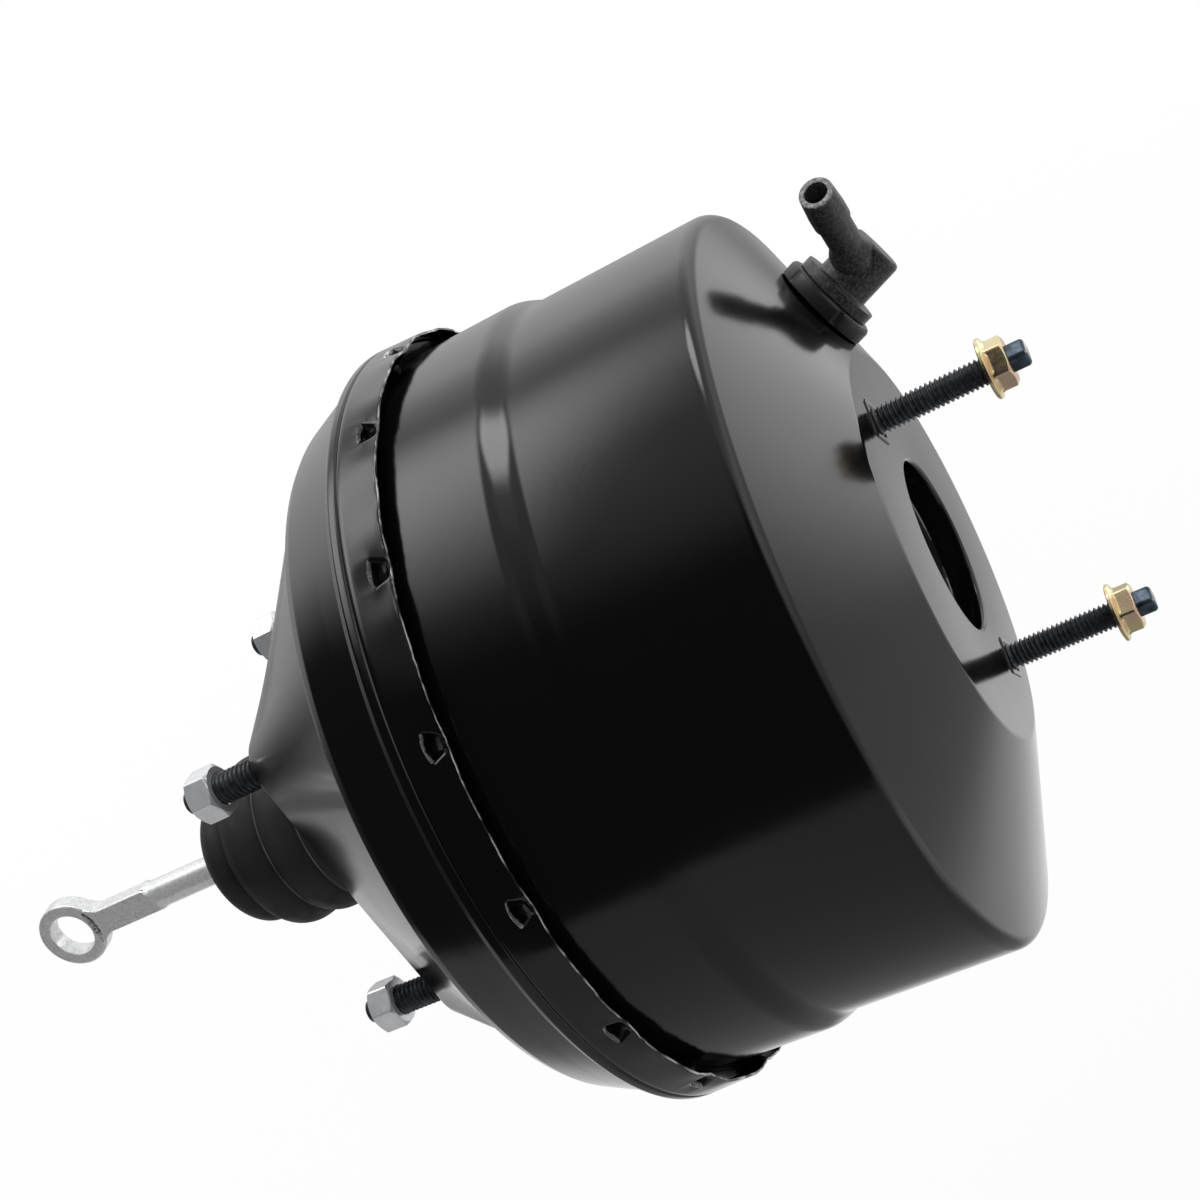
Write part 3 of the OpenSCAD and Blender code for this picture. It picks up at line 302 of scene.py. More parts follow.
def satin_zinc():
    """Zinc plate on a forging: faintly mottled, drawn lengthwise, with small dents."""
    s = Shader("satin_zinc", (0.74, 0.745, 0.75), 0.32, 0.55)
    s.tint(900, 5, [(0.3, (0.64, 0.645, 0.65)), (0.5, (0.75, 0.755, 0.76)),
                    (0.7, (0.84, 0.845, 0.85))])
    s.rough(420, 4, 0.22, 0.40)
    s.bump(900, 4, 0.00002, 0.4, (0.15, 1, 1))
    s.bump(160, 2, 0.0002, 0.2)
    return s.material


def yellow_zinc():
    """Yellow passivated zinc, which shades to green and to pink."""
    s = Shader("yellow_zinc", (0.60, 0.45, 0.20), 0.26, 1.0)
    s.tint(130, 2, [(0.30, (0.68, 0.64, 0.36)), (0.46, (0.76, 0.62, 0.36)),
                    (0.58, (0.74, 0.52, 0.38)), (0.72, (0.60, 0.63, 0.42))])
    s.rough(600, 3, 0.20, 0.34)
    s.bump(1600, 3, 0.00003, 0.5)
    return s.material


def raw_steel():
    s = Shader("raw_steel", (0.42, 0.42, 0.44), 0.36, 1.0)
    s.rough(300, 4, 0.28, 0.48)
    s.bump(900, 3, 0.00004, 0.5)
    return s.material


def filter_foam():
    s = Shader("filter_foam", grey(0.02), 0.9)
    s.bump(900, 6, 0.0006, 1.0)
    return s.material


PAINT = gloss_black_paint()
SLIT_SHADE_PAINT = thin_black_paint()
TORN = torn_steel()
WORN_EDGE_AND_HIGHLIGHT = worn_edge()
CREASE_HIGHLIGHT = crease_rubber()
BOOT_RUBBER = boot_rubber()
SEAL_RUBBER = seal_rubber()
VALVE_PLASTIC = speckled_plastic("valve_plastic", (0.014, 0.014, 0.015), (0.055, 0.055, 0.057))
SCUFFED = speckled_plastic("scuffed_plastic", (0.10, 0.10, 0.10), (0.34, 0.34, 0.35))
PISTON_PLASTIC = moulded_plastic("piston_plastic", (0.030, 0.030, 0.033), 0.5)
BEARING_PLASTIC = moulded_plastic("bearing_plastic", (0.60, 0.58, 0.54), 0.4)
OXIDE = black_oxide()
BLUED = blued_steel()
BRIGHT = bright_zinc()
SATIN = satin_zinc()
YELLOW = yellow_zinc()
RAW = raw_steel()
FOAM = filter_foam()

# The material that shows on each slot of the record
SLOT_MATERIAL = {"black_paint": PAINT, "raw_steel": RAW, "seal_rubber": SEAL_RUBBER,
                 "boot_rubber": BOOT_RUBBER, "piston_plastic": PISTON_PLASTIC,
                 "bearing_plastic": BEARING_PLASTIC, "zinc_steel": SATIN, "filter_foam": FOAM,
                 "black_oxide": OXIDE, "yellow_zinc": YELLOW, "valve_plastic": VALVE_PLASTIC}


def dress_cad_nodes():
    for part in frame["record"]["subparts"]:
        node = frame["nodes"][part["node"]]
        node.data.materials.clear()
        node.data.materials.append(SLOT_MATERIAL[part["material_slot"]])


# Mesh helpers
def rounded(path, steps=8):
    """Path points (station, radius) or (station, radius, bend) with each bend as an arc."""
    line = []
    for i, place in enumerate(path):
        b = np.array(place[:2], float)
        if len(place) < 3:
            line.append(b)
            continue
        a, c = np.array(path[i - 1][:2], float), np.array(path[i + 1][:2], float)
        u, w = (a - b) / np.linalg.norm(a - b), (c - b) / np.linalg.norm(c - b)
        half = math.acos(max(-1.0, min(1.0, float(u @ w)))) / 2
        middle = b + (u + w) / np.linalg.norm(u + w) * place[2] / math.sin(half)
        start, end = b + u * place[2] / math.tan(half), b + w * place[2] / math.tan(half)
        first = math.atan2(*(start - middle)[::-1])
        sweep = (math.atan2(*(end - middle)[::-1]) - first + math.pi) % TURN - math.pi
        for k in range(steps + 1):
            angle = first + sweep * k / steps
            line.append(middle + place[2] * np.array([math.cos(angle), math.sin(angle)]))
    return np.array(line)


def smooth_line(points, steps=6):
    """A smooth curve through every point."""
    p = np.array(points, float)
    p = np.vstack([2 * p[0] - p[1], p, 2 * p[-1] - p[-2]])
    t = np.linspace(0, 1, steps, endpoint=False)[:, None]
    spans = [0.5 * (2 * b + (c - a) * t + (2 * a - 5 * b + 4 * c - d) * t ** 2
                    + (3 * b - a - 3 * c + d) * t ** 3)
             for a, b, c, d in zip(p[:-3], p[1:-2], p[2:-1], p[3:])]
    return np.vstack(spans + [p[-2:-1]])


def shifted(line, t):
    """The line moved by t to its right-hand side."""
    step = np.diff(line, axis=0)
    step /= np.linalg.norm(step, axis=1)[:, None]
    before, after = np.vstack([step[:1], step]), np.vstack([step, step[-1:]])
    side = before + after
    side = np.stack([side[:, 1], -side[:, 0]], axis=1)
    return line + side * (2 * t / (side ** 2).sum(axis=1))[:, None]


def finish_mesh(name, mesh, material, sharp=32):
    """Merges doubles, points the faces outwards and shades the mesh."""
    work = bmesh.new()
    work.from_mesh(mesh)
    bmesh.ops.remove_doubles(work, verts=work.verts, dist=1e-7)
    bmesh.ops.dissolve_degenerate(work, dist=1e-8, edges=work.edges)
    bmesh.ops.recalc_face_normals(work, faces=work.faces)
    if work.calc_volume(signed=True) < 0:
        bmesh.ops.reverse_faces(work, faces=work.faces)
    work.to_mesh(mesh)
    work.free()
    mesh.shade_smooth()
    mesh.set_sharp_from_angle(angle=math.radians(sharp))
    if material is not None:
        mesh.materials.clear()
        mesh.materials.append(material)
    return linked(name, mesh)


def round_angles(count):
    return np.arange(count) * TURN / count


def ring(station, radius, angle):
    """Points round the X axis; station and radius may change with the angle."""
    even = np.ones(len(angle))
    radius = radius * even
    return np.stack([station * even, radius * np.cos(angle), radius * np.sin(angle)], axis=1)


def ring_mesh(name, rows, close_rows):
    """A mesh through rings of points, each ring closed round itself."""
    rows = np.asarray(rows)
    count, around = rows.shape[:2]
    faces = []
    for i in range(count if close_rows else count - 1):
        a, b = i * around, (i + 1) % count * around
        for j in range(around):
            k = (j + 1) % around
            faces.append((a + j, a + k, b + k, b + j))
    mesh = bpy.data.meshes.new(name)
    mesh.from_pydata(rows.reshape(-1, 3).tolist(), [], faces)
    return mesh


def turned_mesh(name, profile, around=192, ripple=None):
    """A closed profile of (station, radius) turned about the X axis."""
    angle = round_angles(around)
    rows = [ring(x, r + ripple(angle, x) if ripple is not None and r > 0 else r, angle)
            for x, r in profile]
    on_axis = profile[0][1] < 1e-9 and profile[-1][1] < 1e-9
    return ring_mesh(name, rows, not on_axis)


def turned(name, profile, material, around=192, sharp=32, place=None, ripple=None):
    mesh = turned_mesh(name, profile, around, ripple)
    if place is not None:
        mesh.transform(place)
    return finish_mesh(name, mesh, material, sharp)


def joined(name, objects):
    """Joins finished objects into the first, keeping each one's material."""
    mesh = bpy.data.meshes.new(name)
    work = bmesh.new()
    materials = []
    for obj in objects:
        first = len(work.faces)
        work.from_mesh(obj.data)
        work.faces.ensure_lookup_table()
        for face in work.faces[first:]:
            material = obj.data.materials[face.material_index]
            if material not in materials:
                materials.append(material)
            face.material_index = materials.index(material)
    work.to_mesh(mesh)
    work.free()
    for material in materials:
        mesh.materials.append(material)
    for obj in objects:
        bpy.data.objects.remove(obj)
    return linked(name, mesh)


# Geometry Nodes helpers
class Tree:
    """A node tree for a modifier, with named inputs."""

    def __init__(self, name, inputs):
        self.tree = bpy.data.node_groups.new(name, "GeometryNodeTree")
        self.tree.is_modifier = True
        face = self.tree.interface
        face.new_socket("Geometry", in_out="INPUT", socket_type="NodeSocketGeometry")
        self.ids = {}
        for label, kind in inputs.items():
            socket = face.new_socket(label, in_out="INPUT", socket_type="NodeSocket" + kind)
            self.ids[label] = socket.identifier
        face.new_socket("Geometry", in_out="OUTPUT", socket_type="NodeSocketGeometry")
        self.input = self.tree.nodes.new("NodeGroupInput").outputs
        self.output = self.tree.nodes.new("NodeGroupOutput").inputs

    def link(self, node, name, value):
        socket = node.inputs[name]
        if isinstance(value, bpy.types.NodeSocket):
            self.tree.links.new(value, socket)
        else:
            socket.default_value = value

    def node(self, kind, values=(), **settings):
        node = self.tree.nodes.new("GeometryNode" + kind)
        for name, value in settings.items():
            setattr(node, name, value)
        for name, value in dict(values).items():
            self.link(node, name, value)
        return node

    def math(self, operation, *values):
        node = self.tree.nodes.new("ShaderNodeMath")
        node.operation = operation
        for i, value in enumerate(values):
            self.link(node, i, value)
        return node.outputs[0]

    def vector(self, x, y, z):
        node = self.tree.nodes.new("ShaderNodeCombineXYZ")
        for i, value in enumerate((x, y, z)):
            self.link(node, i, value)
        return node.outputs[0]

    def parts(self, vector):
        node = self.tree.nodes.new("ShaderNodeSeparateXYZ")
        self.link(node, 0, vector)
        return node.outputs

    def close(self, geometry, material):
        plain = self.node("RealizeInstances", {"Geometry": geometry}).outputs[0]
        whole = self.node("MergeByDistance", {"Geometry": plain, "Distance": 1e-6}).outputs[0]
        dressed = self.node("SetMaterial", {"Geometry": whole, "Material": material}).outputs[0]
        self.tree.links.new(dressed, self.output[0])


def grown(name, tree, values, base=None, sharp=32):
    """Runs the tree on a base mesh and returns the result as a plain mesh object."""
    if base is None:
        base = bpy.data.meshes.new(name + "_base")
    carrier = linked(name + "_carrier", base)
    modifier = carrier.modifiers.new("grow", "NODES")
    modifier.node_group = tree.tree
    for label, value in values.items():
        modifier[tree.ids[label]] = value
    view = bpy.context.evaluated_depsgraph_get()
    mesh = bpy.data.meshes.new_from_object(carrier.evaluated_get(view))
    carrier.modifiers.clear()
    bpy.data.objects.remove(carrier)
    mesh.name = name
    material = mesh.materials[0] if len(mesh.materials) == 1 else None
    return finish_mesh(name, mesh, material, sharp)


def thread_tree():
    """A screw thread along X: a grid wound round the axis, its radius a row of teeth."""
    t = Tree("screw_thread", {"Radius": "Float", "Depth": "Float", "Pitch": "Float",
                              "Length": "Float", "Rows": "Int", "Facets": "Int",
                              "Material": "Material"})
    i = t.input
    grid = t.node("MeshGrid", {"Size X": 1.0, "Size Y": 1.0, "Vertices X": i["Rows"],
                               "Vertices Y": i["Facets"]}).outputs[0]
    place = t.parts(t.node("InputPosition").outputs[0])
    along = t.math("MULTIPLY", t.math("ADD", place[0], 0.5), i["Length"])
    around = t.math("ADD", place[1], 0.5)
    angle = t.math("MULTIPLY", around, TURN)
    phase = t.math("SUBTRACT", t.math("DIVIDE", along, i["Pitch"]), around)
    tooth = t.math("MULTIPLY", t.math("PINGPONG", phase, 0.5), 2.0)
    root_flat, steepness = 0.12, 1.32
    flank = t.math("MULTIPLY", t.math("SUBTRACT", tooth, root_flat), steepness)
    flank = t.math("MINIMUM", t.math("MAXIMUM", flank, 0.0), 1.0)
    start = t.math("DIVIDE", along, i["Pitch"])
    end = t.math("DIVIDE", t.math("SUBTRACT", i["Length"], along), i["Pitch"])
    fade = t.math("MINIMUM", t.math("MINIMUM", start, end), 1.0)
    lost = t.math("MULTIPLY", i["Depth"], t.math("SUBTRACT", 1.0,
                                                 t.math("MULTIPLY", flank, fade)))
    radius = t.math("SUBTRACT", i["Radius"], lost)
    inside = t.math("LESS_THAN", t.math("ABSOLUTE", place[0]), 0.4999)
    radius = t.math("MULTIPLY", radius, inside)
    wound = t.vector(along, t.math("MULTIPLY", radius, t.math("COSINE", angle)),
                     t.math("MULTIPLY", radius, t.math("SINE", angle)))
    t.close(t.node("SetPosition", {"Geometry": grid, "Position": wound}).outputs[0],
            i["Material"])
    return t


def copies_tree():
    """Puts a copy of one piece on every point of the base, each turned a little further."""
    t = Tree("copies_on_points", {"Piece": "Object", "Turn": "Float", "Material": "Material"})
    i = t.input
    piece = t.node("ObjectInfo", {"Object": i["Piece"], "As Instance": True})
    points = t.node("MeshToPoints", {"Mesh": i["Geometry"]}).outputs[0]
    index = t.node("InputIndex").outputs[0]
    turn = t.vector(t.math("MULTIPLY", index, i["Turn"]), 0.0, 0.0)
    copies = t.node("InstanceOnPoints", {"Points": points, "Instance": piece.outputs["Geometry"],
                                         "Rotation": turn}).outputs[0]
    t.close(copies, i["Material"])
    return t


def crimp_tree():
    """Repeats one stretch of the lip round the axis and makes its cut edges ragged."""
    marks = {"torn": "Torn", "hole": "Hole", "edge": "Edge"}
    inputs = {"Piece": "Object", "Count": "Int", "First": "Float", "Raggedness": "Float",
              "Material": "Material"}
    t = Tree("crimps_round_lip", {**inputs, **{name: "Material" for name in marks.values()}})
    i = t.input
    piece = t.node("ObjectInfo", {"Object": i["Piece"], "As Instance": True})
    points = t.node("Points", {"Count": i["Count"]}).outputs[0]
    step = t.math("DIVIDE", TURN, i["Count"])
    index = t.node("InputIndex").outputs[0]
    turn = t.math("ADD", i["First"], t.math("MULTIPLY", index, step))
    copies = t.node("InstanceOnPoints", {"Points": points, "Instance": piece.outputs["Geometry"],
                                         "Rotation": t.vector(turn, 0.0, 0.0)}).outputs[0]
    plain = t.node("RealizeInstances", {"Geometry": copies}).outputs[0]
    whole = t.node("MergeByDistance", {"Geometry": plain, "Distance": 2e-6}).outputs[0]
    noise = t.tree.nodes.new("ShaderNodeTexNoise")
    tears_a_metre = 420
    noise.inputs["Scale"].default_value = tears_a_metre
    ragged = t.node("InputNamedAttribute", {"Name": "ragged"}, data_type="FLOAT").outputs[0]
    reach = t.math("MULTIPLY", ragged, i["Raggedness"])
    shift = [t.math("MULTIPLY", t.math("SUBTRACT", part, 0.5), reach)
             for part in list(t.parts(noise.outputs["Color"]))[:3]]
    rough = t.node("SetPosition", {"Geometry": whole, "Offset": t.vector(*shift)}).outputs[0]
    dressed = t.node("SetMaterial", {"Geometry": rough, "Material": i["Material"]}).outputs[0]
    for label, name in marks.items():
        mark = t.node("InputNamedAttribute", {"Name": label}, data_type="BOOLEAN")
        dressed = t.node("SetMaterial", {"Geometry": dressed, "Selection": mark.outputs[0],
                                         "Material": i[name]}).outputs[0]
    t.tree.links.new(dressed, t.output[0])
    return t


THREADS = thread_tree()
COPIES = copies_tree()
CRIMPS = crimp_tree()

# Driving sizes of the housing, in metres
WALL = 1.6 * MM
FLANGE_X, FLANGE_R = 77.0 * MM, 117.3 * MM
BARREL_R, NOSE_R = 113.6 * MM, 110.9 * MM
STEP_X, STEP_LEN = 111.4 * MM, 6.4 * MM
PAD_R, PILOT_R = 58.5 * MM, 25.4 * MM
CONE_ANGLE = math.radians(20.3)
RIM_X, RIM_R, GROOVE_X = 68.1 * MM, 119.5 * MM, 70.8 * MM
LIP_R = 118.6 * MM
CRIMP_COUNT, CRIMP_FIRST = 16, math.radians(103)
SLIT_X, TONGUE_END, TONGUE_HALF, TONGUE_DEPTH = 77.1 * MM, 82.3 * MM, 4.6 * MM, 3.1 * MM
MASTER_STUD_Z = 85.725 * MM / 2
STUD_Y, STUD_Z = 82.55 * MM / 2, 92.08 * MM / 2
MOUTH_R = 25 * MM
FLANK_X, FLANK_R = 44.2 * MM, 105.0 * MM
SHOULDER_X, SHOULDER_R = 48.0 * MM, 109.3 * MM
WAIST_X, WAIST_R = 59 * MM, 113.9 * MM


def press_mark(z):
    """The square imprint round a front stud, where it was pressed home."""
    half, height = 5.8 * MM, 0.42 * MM
    angle = round_angles(96)
    side = np.abs((angle + math.pi / 4) % (math.pi / 2) - math.pi / 4)
    square = np.minimum(half / np.cos(side), half * 1.32)
    steps = ((-0.8, 0), (-0.8, 1.0), (0.0, 1.0), (0.75, 0.97), (1.0, 0.92), (1.0, 0.76),
             (0.2, 0.70), (0.2, 0))
    rows = [ring(x * height, square * scale, angle) for x, scale in steps]
    mesh = ring_mesh("press_mark", rows, False)
    mesh.transform(along_x(PAD_X, 0, z, turn=math.pi / 4))
    return finish_mesh("press_mark", mesh, PAINT, 25)


def make_front_shell():
    """Front drum: flange, two barrels, cone, pad and the turned-in pilot neck."""
    cone_x = PAD_X - (NOSE_R - PAD_R) * math.tan(CONE_ANGLE)
    neck_end = PAD_X - 8 * MM
    outer = rounded([(FLANGE_X, FLANGE_R), (FLANGE_X, BARREL_R, 3 * MM),
                     (STEP_X, BARREL_R, 9 * MM), (STEP_X + STEP_LEN, NOSE_R, 9 * MM),
                     (cone_x, NOSE_R, 4.5 * MM), (PAD_X, PAD_R, 5 * MM),
                     (PAD_X, PILOT_R, 1.3 * MM), (neck_end + 0.4 * MM, PILOT_R),
                     (neck_end, PILOT_R)], 10)
    profile = np.vstack([outer, shifted(outer, WALL)[::-1]])
    shell = turned("drum", profile, PAINT, 384)
    shell.data.materials.append(WORN_EDGE_AND_HIGHLIGHT)
    # The pilot neck's inner end takes the worn-edge material. Its light grey there is a painted
    # highlight, the thin light line inside the pilot hole.
    edge_x, edge_r = neck_end + 0.41 * MM, PILOT_R + MM
    for face in shell.data.polygons:
        middle = face.center
        if middle.x < edge_x and math.hypot(middle.y, middle.z) < edge_r:
            face.material_index = 1
    marks = [press_mark(z) for z in (-MASTER_STUD_Z, MASTER_STUD_Z)]
    drum = joined("front_drum", [shell] + marks)
    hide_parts("front_shell")
    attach(drum, "housing")


def rear_stud_places(station):
    return [(station, y, z) for y in (-STUD_Y, STUD_Y) for z in (-STUD_Z, STUD_Z)]


def crown_outline(angle):
    """Radius of the firewall face's edge in each direction, a hull of bosses and crown."""
    boss_r, crown_r, far, directions = 9.0 * MM, 59.0 * MM, 9.0, 720
    toward = np.linspace(0, TURN, directions, endpoint=False)
    reach = np.zeros(directions)
    for _, y, z in rear_stud_places(0):
        reach = np.maximum(reach, y * np.cos(toward) + z * np.sin(toward) + boss_r)
    limit = math.acos(STUD_Y / crown_r)
    above = np.abs(np.abs((toward + math.pi) % TURN - math.pi) - math.pi / 2)
    crown = np.where(above < math.pi / 2 - limit, crown_r, 0)
    reach = np.maximum(reach, crown)
    facing = np.cos(toward[None, :] - angle[:, None])
    least = 0.1
    radius = np.where(facing > least, reach[None, :] / np.maximum(facing, least), far)
    return radius.min(axis=1)


def make_rear_shell():
    """Rear shell: raised firewall face, flank, shoulder, waist and rolled rim."""
    angle = round_angles(512)
    crown = crown_outline(angle)
    rim = [(SHOULDER_X, SHOULDER_R, 4 * MM), (WAIST_X, WAIST_R, 8 * MM),
           (RIM_X - 2.1 * MM, RIM_R - 2.5 * MM, 1.8 * MM), (RIM_X, RIM_R, 1.6 * MM),
           (GROOVE_X - 0.45 * MM, RIM_R, 0.5 * MM), (GROOVE_X, RIM_R - 0.5 * MM)]
    columns = []
    for reach in crown:
        path = [(14 * MM, MOUTH_R), (0, MOUTH_R, 1.2 * MM), (0, reach, 4.5 * MM),
                (FLANK_X, FLANK_R, 5 * MM), (FLANK_X + MM, 107.2 * MM, 1.4 * MM)] + rim
        outer = rounded(path, 7)
        columns.append(np.vstack([outer, shifted(outer, WALL)[::-1]]))
    rows = [ring(x, r, angle) for x, r in np.array(columns).transpose(1, 2, 0)]
    mesh = ring_mesh("rear_shell_skin", rows, True)
    skin = finish_mesh("rear_shell_skin", mesh, PAINT)
    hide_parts("rear_shell")
    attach(skin, "housing")


def lip_radius(x):
    """Outer radius of the lip without its crimps, with the groove behind it."""
    t = np.clip((x - GROOVE_X) / (LIP_X - GROOVE_X), 0, 1)
    groove = 0.5 * MM * np.exp(-((x - GROOVE_X) / (0.5 * MM)) ** 2)
    return RIM_R + (LIP_R - RIM_R) * t - groove


def lip_wall(x):
    """The sheet is drawn thinner towards its sheared edge."""
    return WALL - 0.95 * MM * np.clip((x - 75 * MM) / (LIP_X - 75 * MM), 0, 1)


def tongue_depth(x, s):
    """Depth of a pressed-in tongue at station x, s to the side of its middle line."""
    t = np.clip((x - SLIT_X) / (TONGUE_END - SLIT_X), 0, 1)
    side = np.clip((np.abs(s) / (TONGUE_HALF * (1 - 0.3 * t)) - 0.45) / 0.55, 0, 1)
    return TONGUE_DEPTH * (1 - side * side * (3 - 2 * side)) * (1 - t) ** 0.8


def lip_pull(x, s):
    """How far a crimp draws the lip in, with a slight swell between crimps."""
    start, length, reach, blunt = 73.5 * MM, 8 * MM, 4.2 * MM, 1.1 * MM
    near = np.clip((x - start) / length, 0, 1)
    drawn = 1.15 * MM * np.exp(-np.sqrt(s * s + blunt ** 2) / reach)
    swell = 0.3 * MM * np.exp(-((np.abs(s) - 12 * MM) / (6 * MM)) ** 2)
    return (drawn - swell) * near


def slit_bow(x, s):
    """Bends the slit forward at its ends."""
    side = np.abs(s) / TONGUE_HALF
    bow = 1.3 * MM * np.minimum(side, 1) ** 2 * np.exp(-(np.maximum(side - 1, 0) * 3) ** 2)
    return bow * math.exp(-((x - SLIT_X) / (2.2 * MM)) ** 2)


# Rows of the lip's outer side at the slit: its raised burr, the cut face, the tongue's root
BURR, CUT_FACE, TONGUE = 9, 10, 11


def lip_stations():
    """Stations of the lip's rows, along its outer side and back along its inner side."""
    slit, end = SLIT_X / MM, LIP_X / MM
    outside = [70.8, 71.05, 71.35, 71.8, 72.8, 74, 75.2, 76.2, 76.7, slit - 0.04, slit - 0.02,
               slit, 77.35, 77.8, 78.4, 79, 79.6, 80.2, 80.8, 81.4, 82, 82.4, end - 0.3,
               end - 0.1, end]
    inside = [end, end - 0.3, 81, 79, 77.6, 77.3, 74, 70.8]
    return np.array(outside) * MM, np.array(inside) * MM


def lip_outside(row, last, x, across):
    """One row of (station, radius) on the lip's outer side, and how ragged it is."""
    opening = tongue_depth(SLIT_X, across)
    depth = lip_pull(x, across)
    if row == BURR:
        depth = depth - 0.45 * MM * (opening > 0.8 * MM)
    if row == CUT_FACE:
        depth = depth + np.minimum(opening, 1.1 * MM)
    if row >= TONGUE:
        depth = depth + tongue_depth(x, across)
    corner = 0.12 * MM * (row >= last - 1) * (row - last + 2) / 2
    line = np.stack([x + slit_bow(x, across), lip_radius(x) - depth - corner], axis=1)
    cut = (row in (BURR, CUT_FACE)) * (opening > 0.3 * MM)
    return line, np.maximum(cut, 0.6 * (row >= last - 2)) * np.ones(len(across))


def lip_inside(x, across):
    """One row on the lip's inner side, and how ragged it is."""
    depth = lip_pull(x, across) + (tongue_depth(x, across) if x > 77.2 * MM else 0)
    line = np.stack([x + slit_bow(x, across), lip_radius(x) - depth - lip_wall(x)], axis=1)
    return line, 0.6 * (x > LIP_X - 0.4 * MM) * np.ones(len(across))


def lip_sector():
    """One stretch of the lip with a crimp in its middle: slit, torn edge and tongue."""
    half = math.pi / CRIMP_COUNT
    dense = np.linspace(-6 * MM, 6 * MM, 41)
    wide = np.linspace(6 * MM, half * RIM_R, 10)[1:]
    across = np.concatenate([-wide[::-1], dense, wide])
    angle = across / RIM_R
    outside, inside = lip_stations()
    last = len(outside) - 1
    lines = [lip_outside(i, last, x, across) for i, x in enumerate(outside)]
    lines += [lip_inside(x, across) for x in inside]
    points = np.concatenate([ring(line[:, 0], line[:, 1], angle) for line, _ in lines])
    count, columns = len(lines), len(across)
    faces = []
    marks = {"torn": [], "hole": [], "edge": []}
    for i in range(count):
        k = (i + 1) % count
        for j in range(columns - 1):
            faces.append((i * columns + j, i * columns + j + 1,
                          k * columns + j + 1, k * columns + j))
            depth = tongue_depth(SLIT_X, (across[j] + across[j + 1]) / 2)
            marks["torn"].append(bool(i in (BURR - 1, BURR) and depth > 0.5 * MM))
            # Faces on the slit's cut face take the rougher near-black, painted shade for the open
            # slit.
            marks["hole"].append(bool(i == CUT_FACE and depth > 1.2 * MM))
            marks["edge"].append(i in (last - 1, last))
    mesh = bpy.data.meshes.new("lip_sector")
    mesh.from_pydata(points.tolist(), [], faces)
    for label, values in marks.items():
        mesh.attributes.new(label, "BOOLEAN", "FACE").data.foreach_set("value", values)
    ragged = np.concatenate([share for _, share in lines]).astype(float)
    mesh.attributes.new("ragged", "FLOAT", "POINT").data.foreach_set("value", ragged)
    return linked("lip_sector", mesh)


def make_lip():
    """The rear shell's lip, lanced and crimped over the front drum's flange."""
    sector = lip_sector()
    # The slit's cut faces get the painted-shade near-black.
    lip = grown("crimped_lip", CRIMPS, {"Piece": sector, "Count": CRIMP_COUNT,
                                        "First": CRIMP_FIRST, "Raggedness": 1.1 * MM,
                                        "Material": PAINT, "Torn": TORN, "Hole": SLIT_SHADE_PAINT,
                                        "Edge": WORN_EDGE_AND_HIGHLIGHT})
    bpy.data.objects.remove(sector)
    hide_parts("rear_shell")
    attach(lip, "housing")


def along_x(station, y, z, flip=False, turn=0.0):
    """Places something drawn from the origin along +X; flip points it along -X."""
    place = Matrix.Translation((station, y, z))
    if flip:
        place = place @ Matrix.Rotation(math.pi, 4, "Z")
    return place @ Matrix.Rotation(turn, 4, "X")


def thread(name, radius, depth, pitch, length, material, place):
    rows_a_turn, facets = 9, 41
    rows = int(length / pitch * rows_a_turn) + 3
    piece = grown(name, THREADS, {"Radius": radius, "Depth": depth, "Pitch": pitch,
                                  "Length": length, "Rows": rows, "Facets": facets,
                                  "Material": material}, sharp=60)
    piece.data.transform(place)
    return piece


THREAD_LAP = 0.3 * MM


def stud_foot(place, foot, depth, head_r, radius, end_r):
    """A stud's head behind the sheet and its plain foot in front of it."""
    sheet = -1.8 * MM
    path = [(-depth, 0), (-depth, head_r), (sheet, head_r), (sheet, radius),
            (foot - 0.6 * MM, radius), (foot, end_r), (foot + 0.4 * MM, 0)]
    return turned("foot", path, OXIDE, 48, place=place)


def make_front_studs():
    """Front studs: plain foot, thread and a blued square drive end."""
    foot, drive = 1.2 * MM, 4.9 * MM
    crest_r, tooth, pitch = 3.92 * MM, 0.78 * MM, 1.411 * MM
    length = FRONT_STUDS[1][0] - PAD_X - drive
    pieces = []
    for z in (-MASTER_STUD_Z, MASTER_STUD_Z):
        place = along_x(PAD_X, 0, z)
        pieces.append(stud_foot(place, foot, 4 * MM, 7 * MM, 3.97 * MM, 3.4 * MM))
        pieces.append(thread("thread", crest_r, tooth, pitch, length - foot + THREAD_LAP,
                             OXIDE, along_x(PAD_X + foot - THREAD_LAP, 0, z)))
        pieces.append(drive_end(along_x(PAD_X + length, 0, z, turn=math.radians(20)), drive))
    studs = joined("front_studs", pieces)
    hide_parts("master_cylinder_studs")
    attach(studs, "housing")


def drive_end(place, length):
    """Square end with rounded corners and a domed tip."""
    half, corner = 3.1 * MM, 3.85 * MM
    angle = round_angles(64)
    square = half / np.maximum(np.abs(np.cos(angle)), np.abs(np.sin(angle)))
    outline = np.minimum(square, corner)
    tip = length / MM
    steps = ((-0.8, 0), (-0.8, 0.97), (tip - 1.1, 0.97), (tip - 0.5, 0.92), (tip - 0.1, 0.78),
             (tip, 0.5), (tip, 0))
    rows = [ring(x * MM, outline * scale, angle) for x, scale in steps]
    mesh = ring_mesh("drive_end", rows, False)
    mesh.transform(place)
    end = finish_mesh("drive_end", mesh, BLUED, 40)
    end.data.materials.append(RAW)
    along = place.to_3x3() @ Vector((1, 0, 0))
    for face in end.data.polygons:
        if face.normal.dot(along) > 0.8:
            face.material_index = 1
    return end


def hexagon(angle, across_flats, corner_soft=0.0):
    sector = (angle + math.pi / 6) % (math.pi / 3) - math.pi / 6
    plain = across_flats / 2 / np.cos(sector)
    return np.minimum(plain, across_flats / math.sqrt(3) - corner_soft)


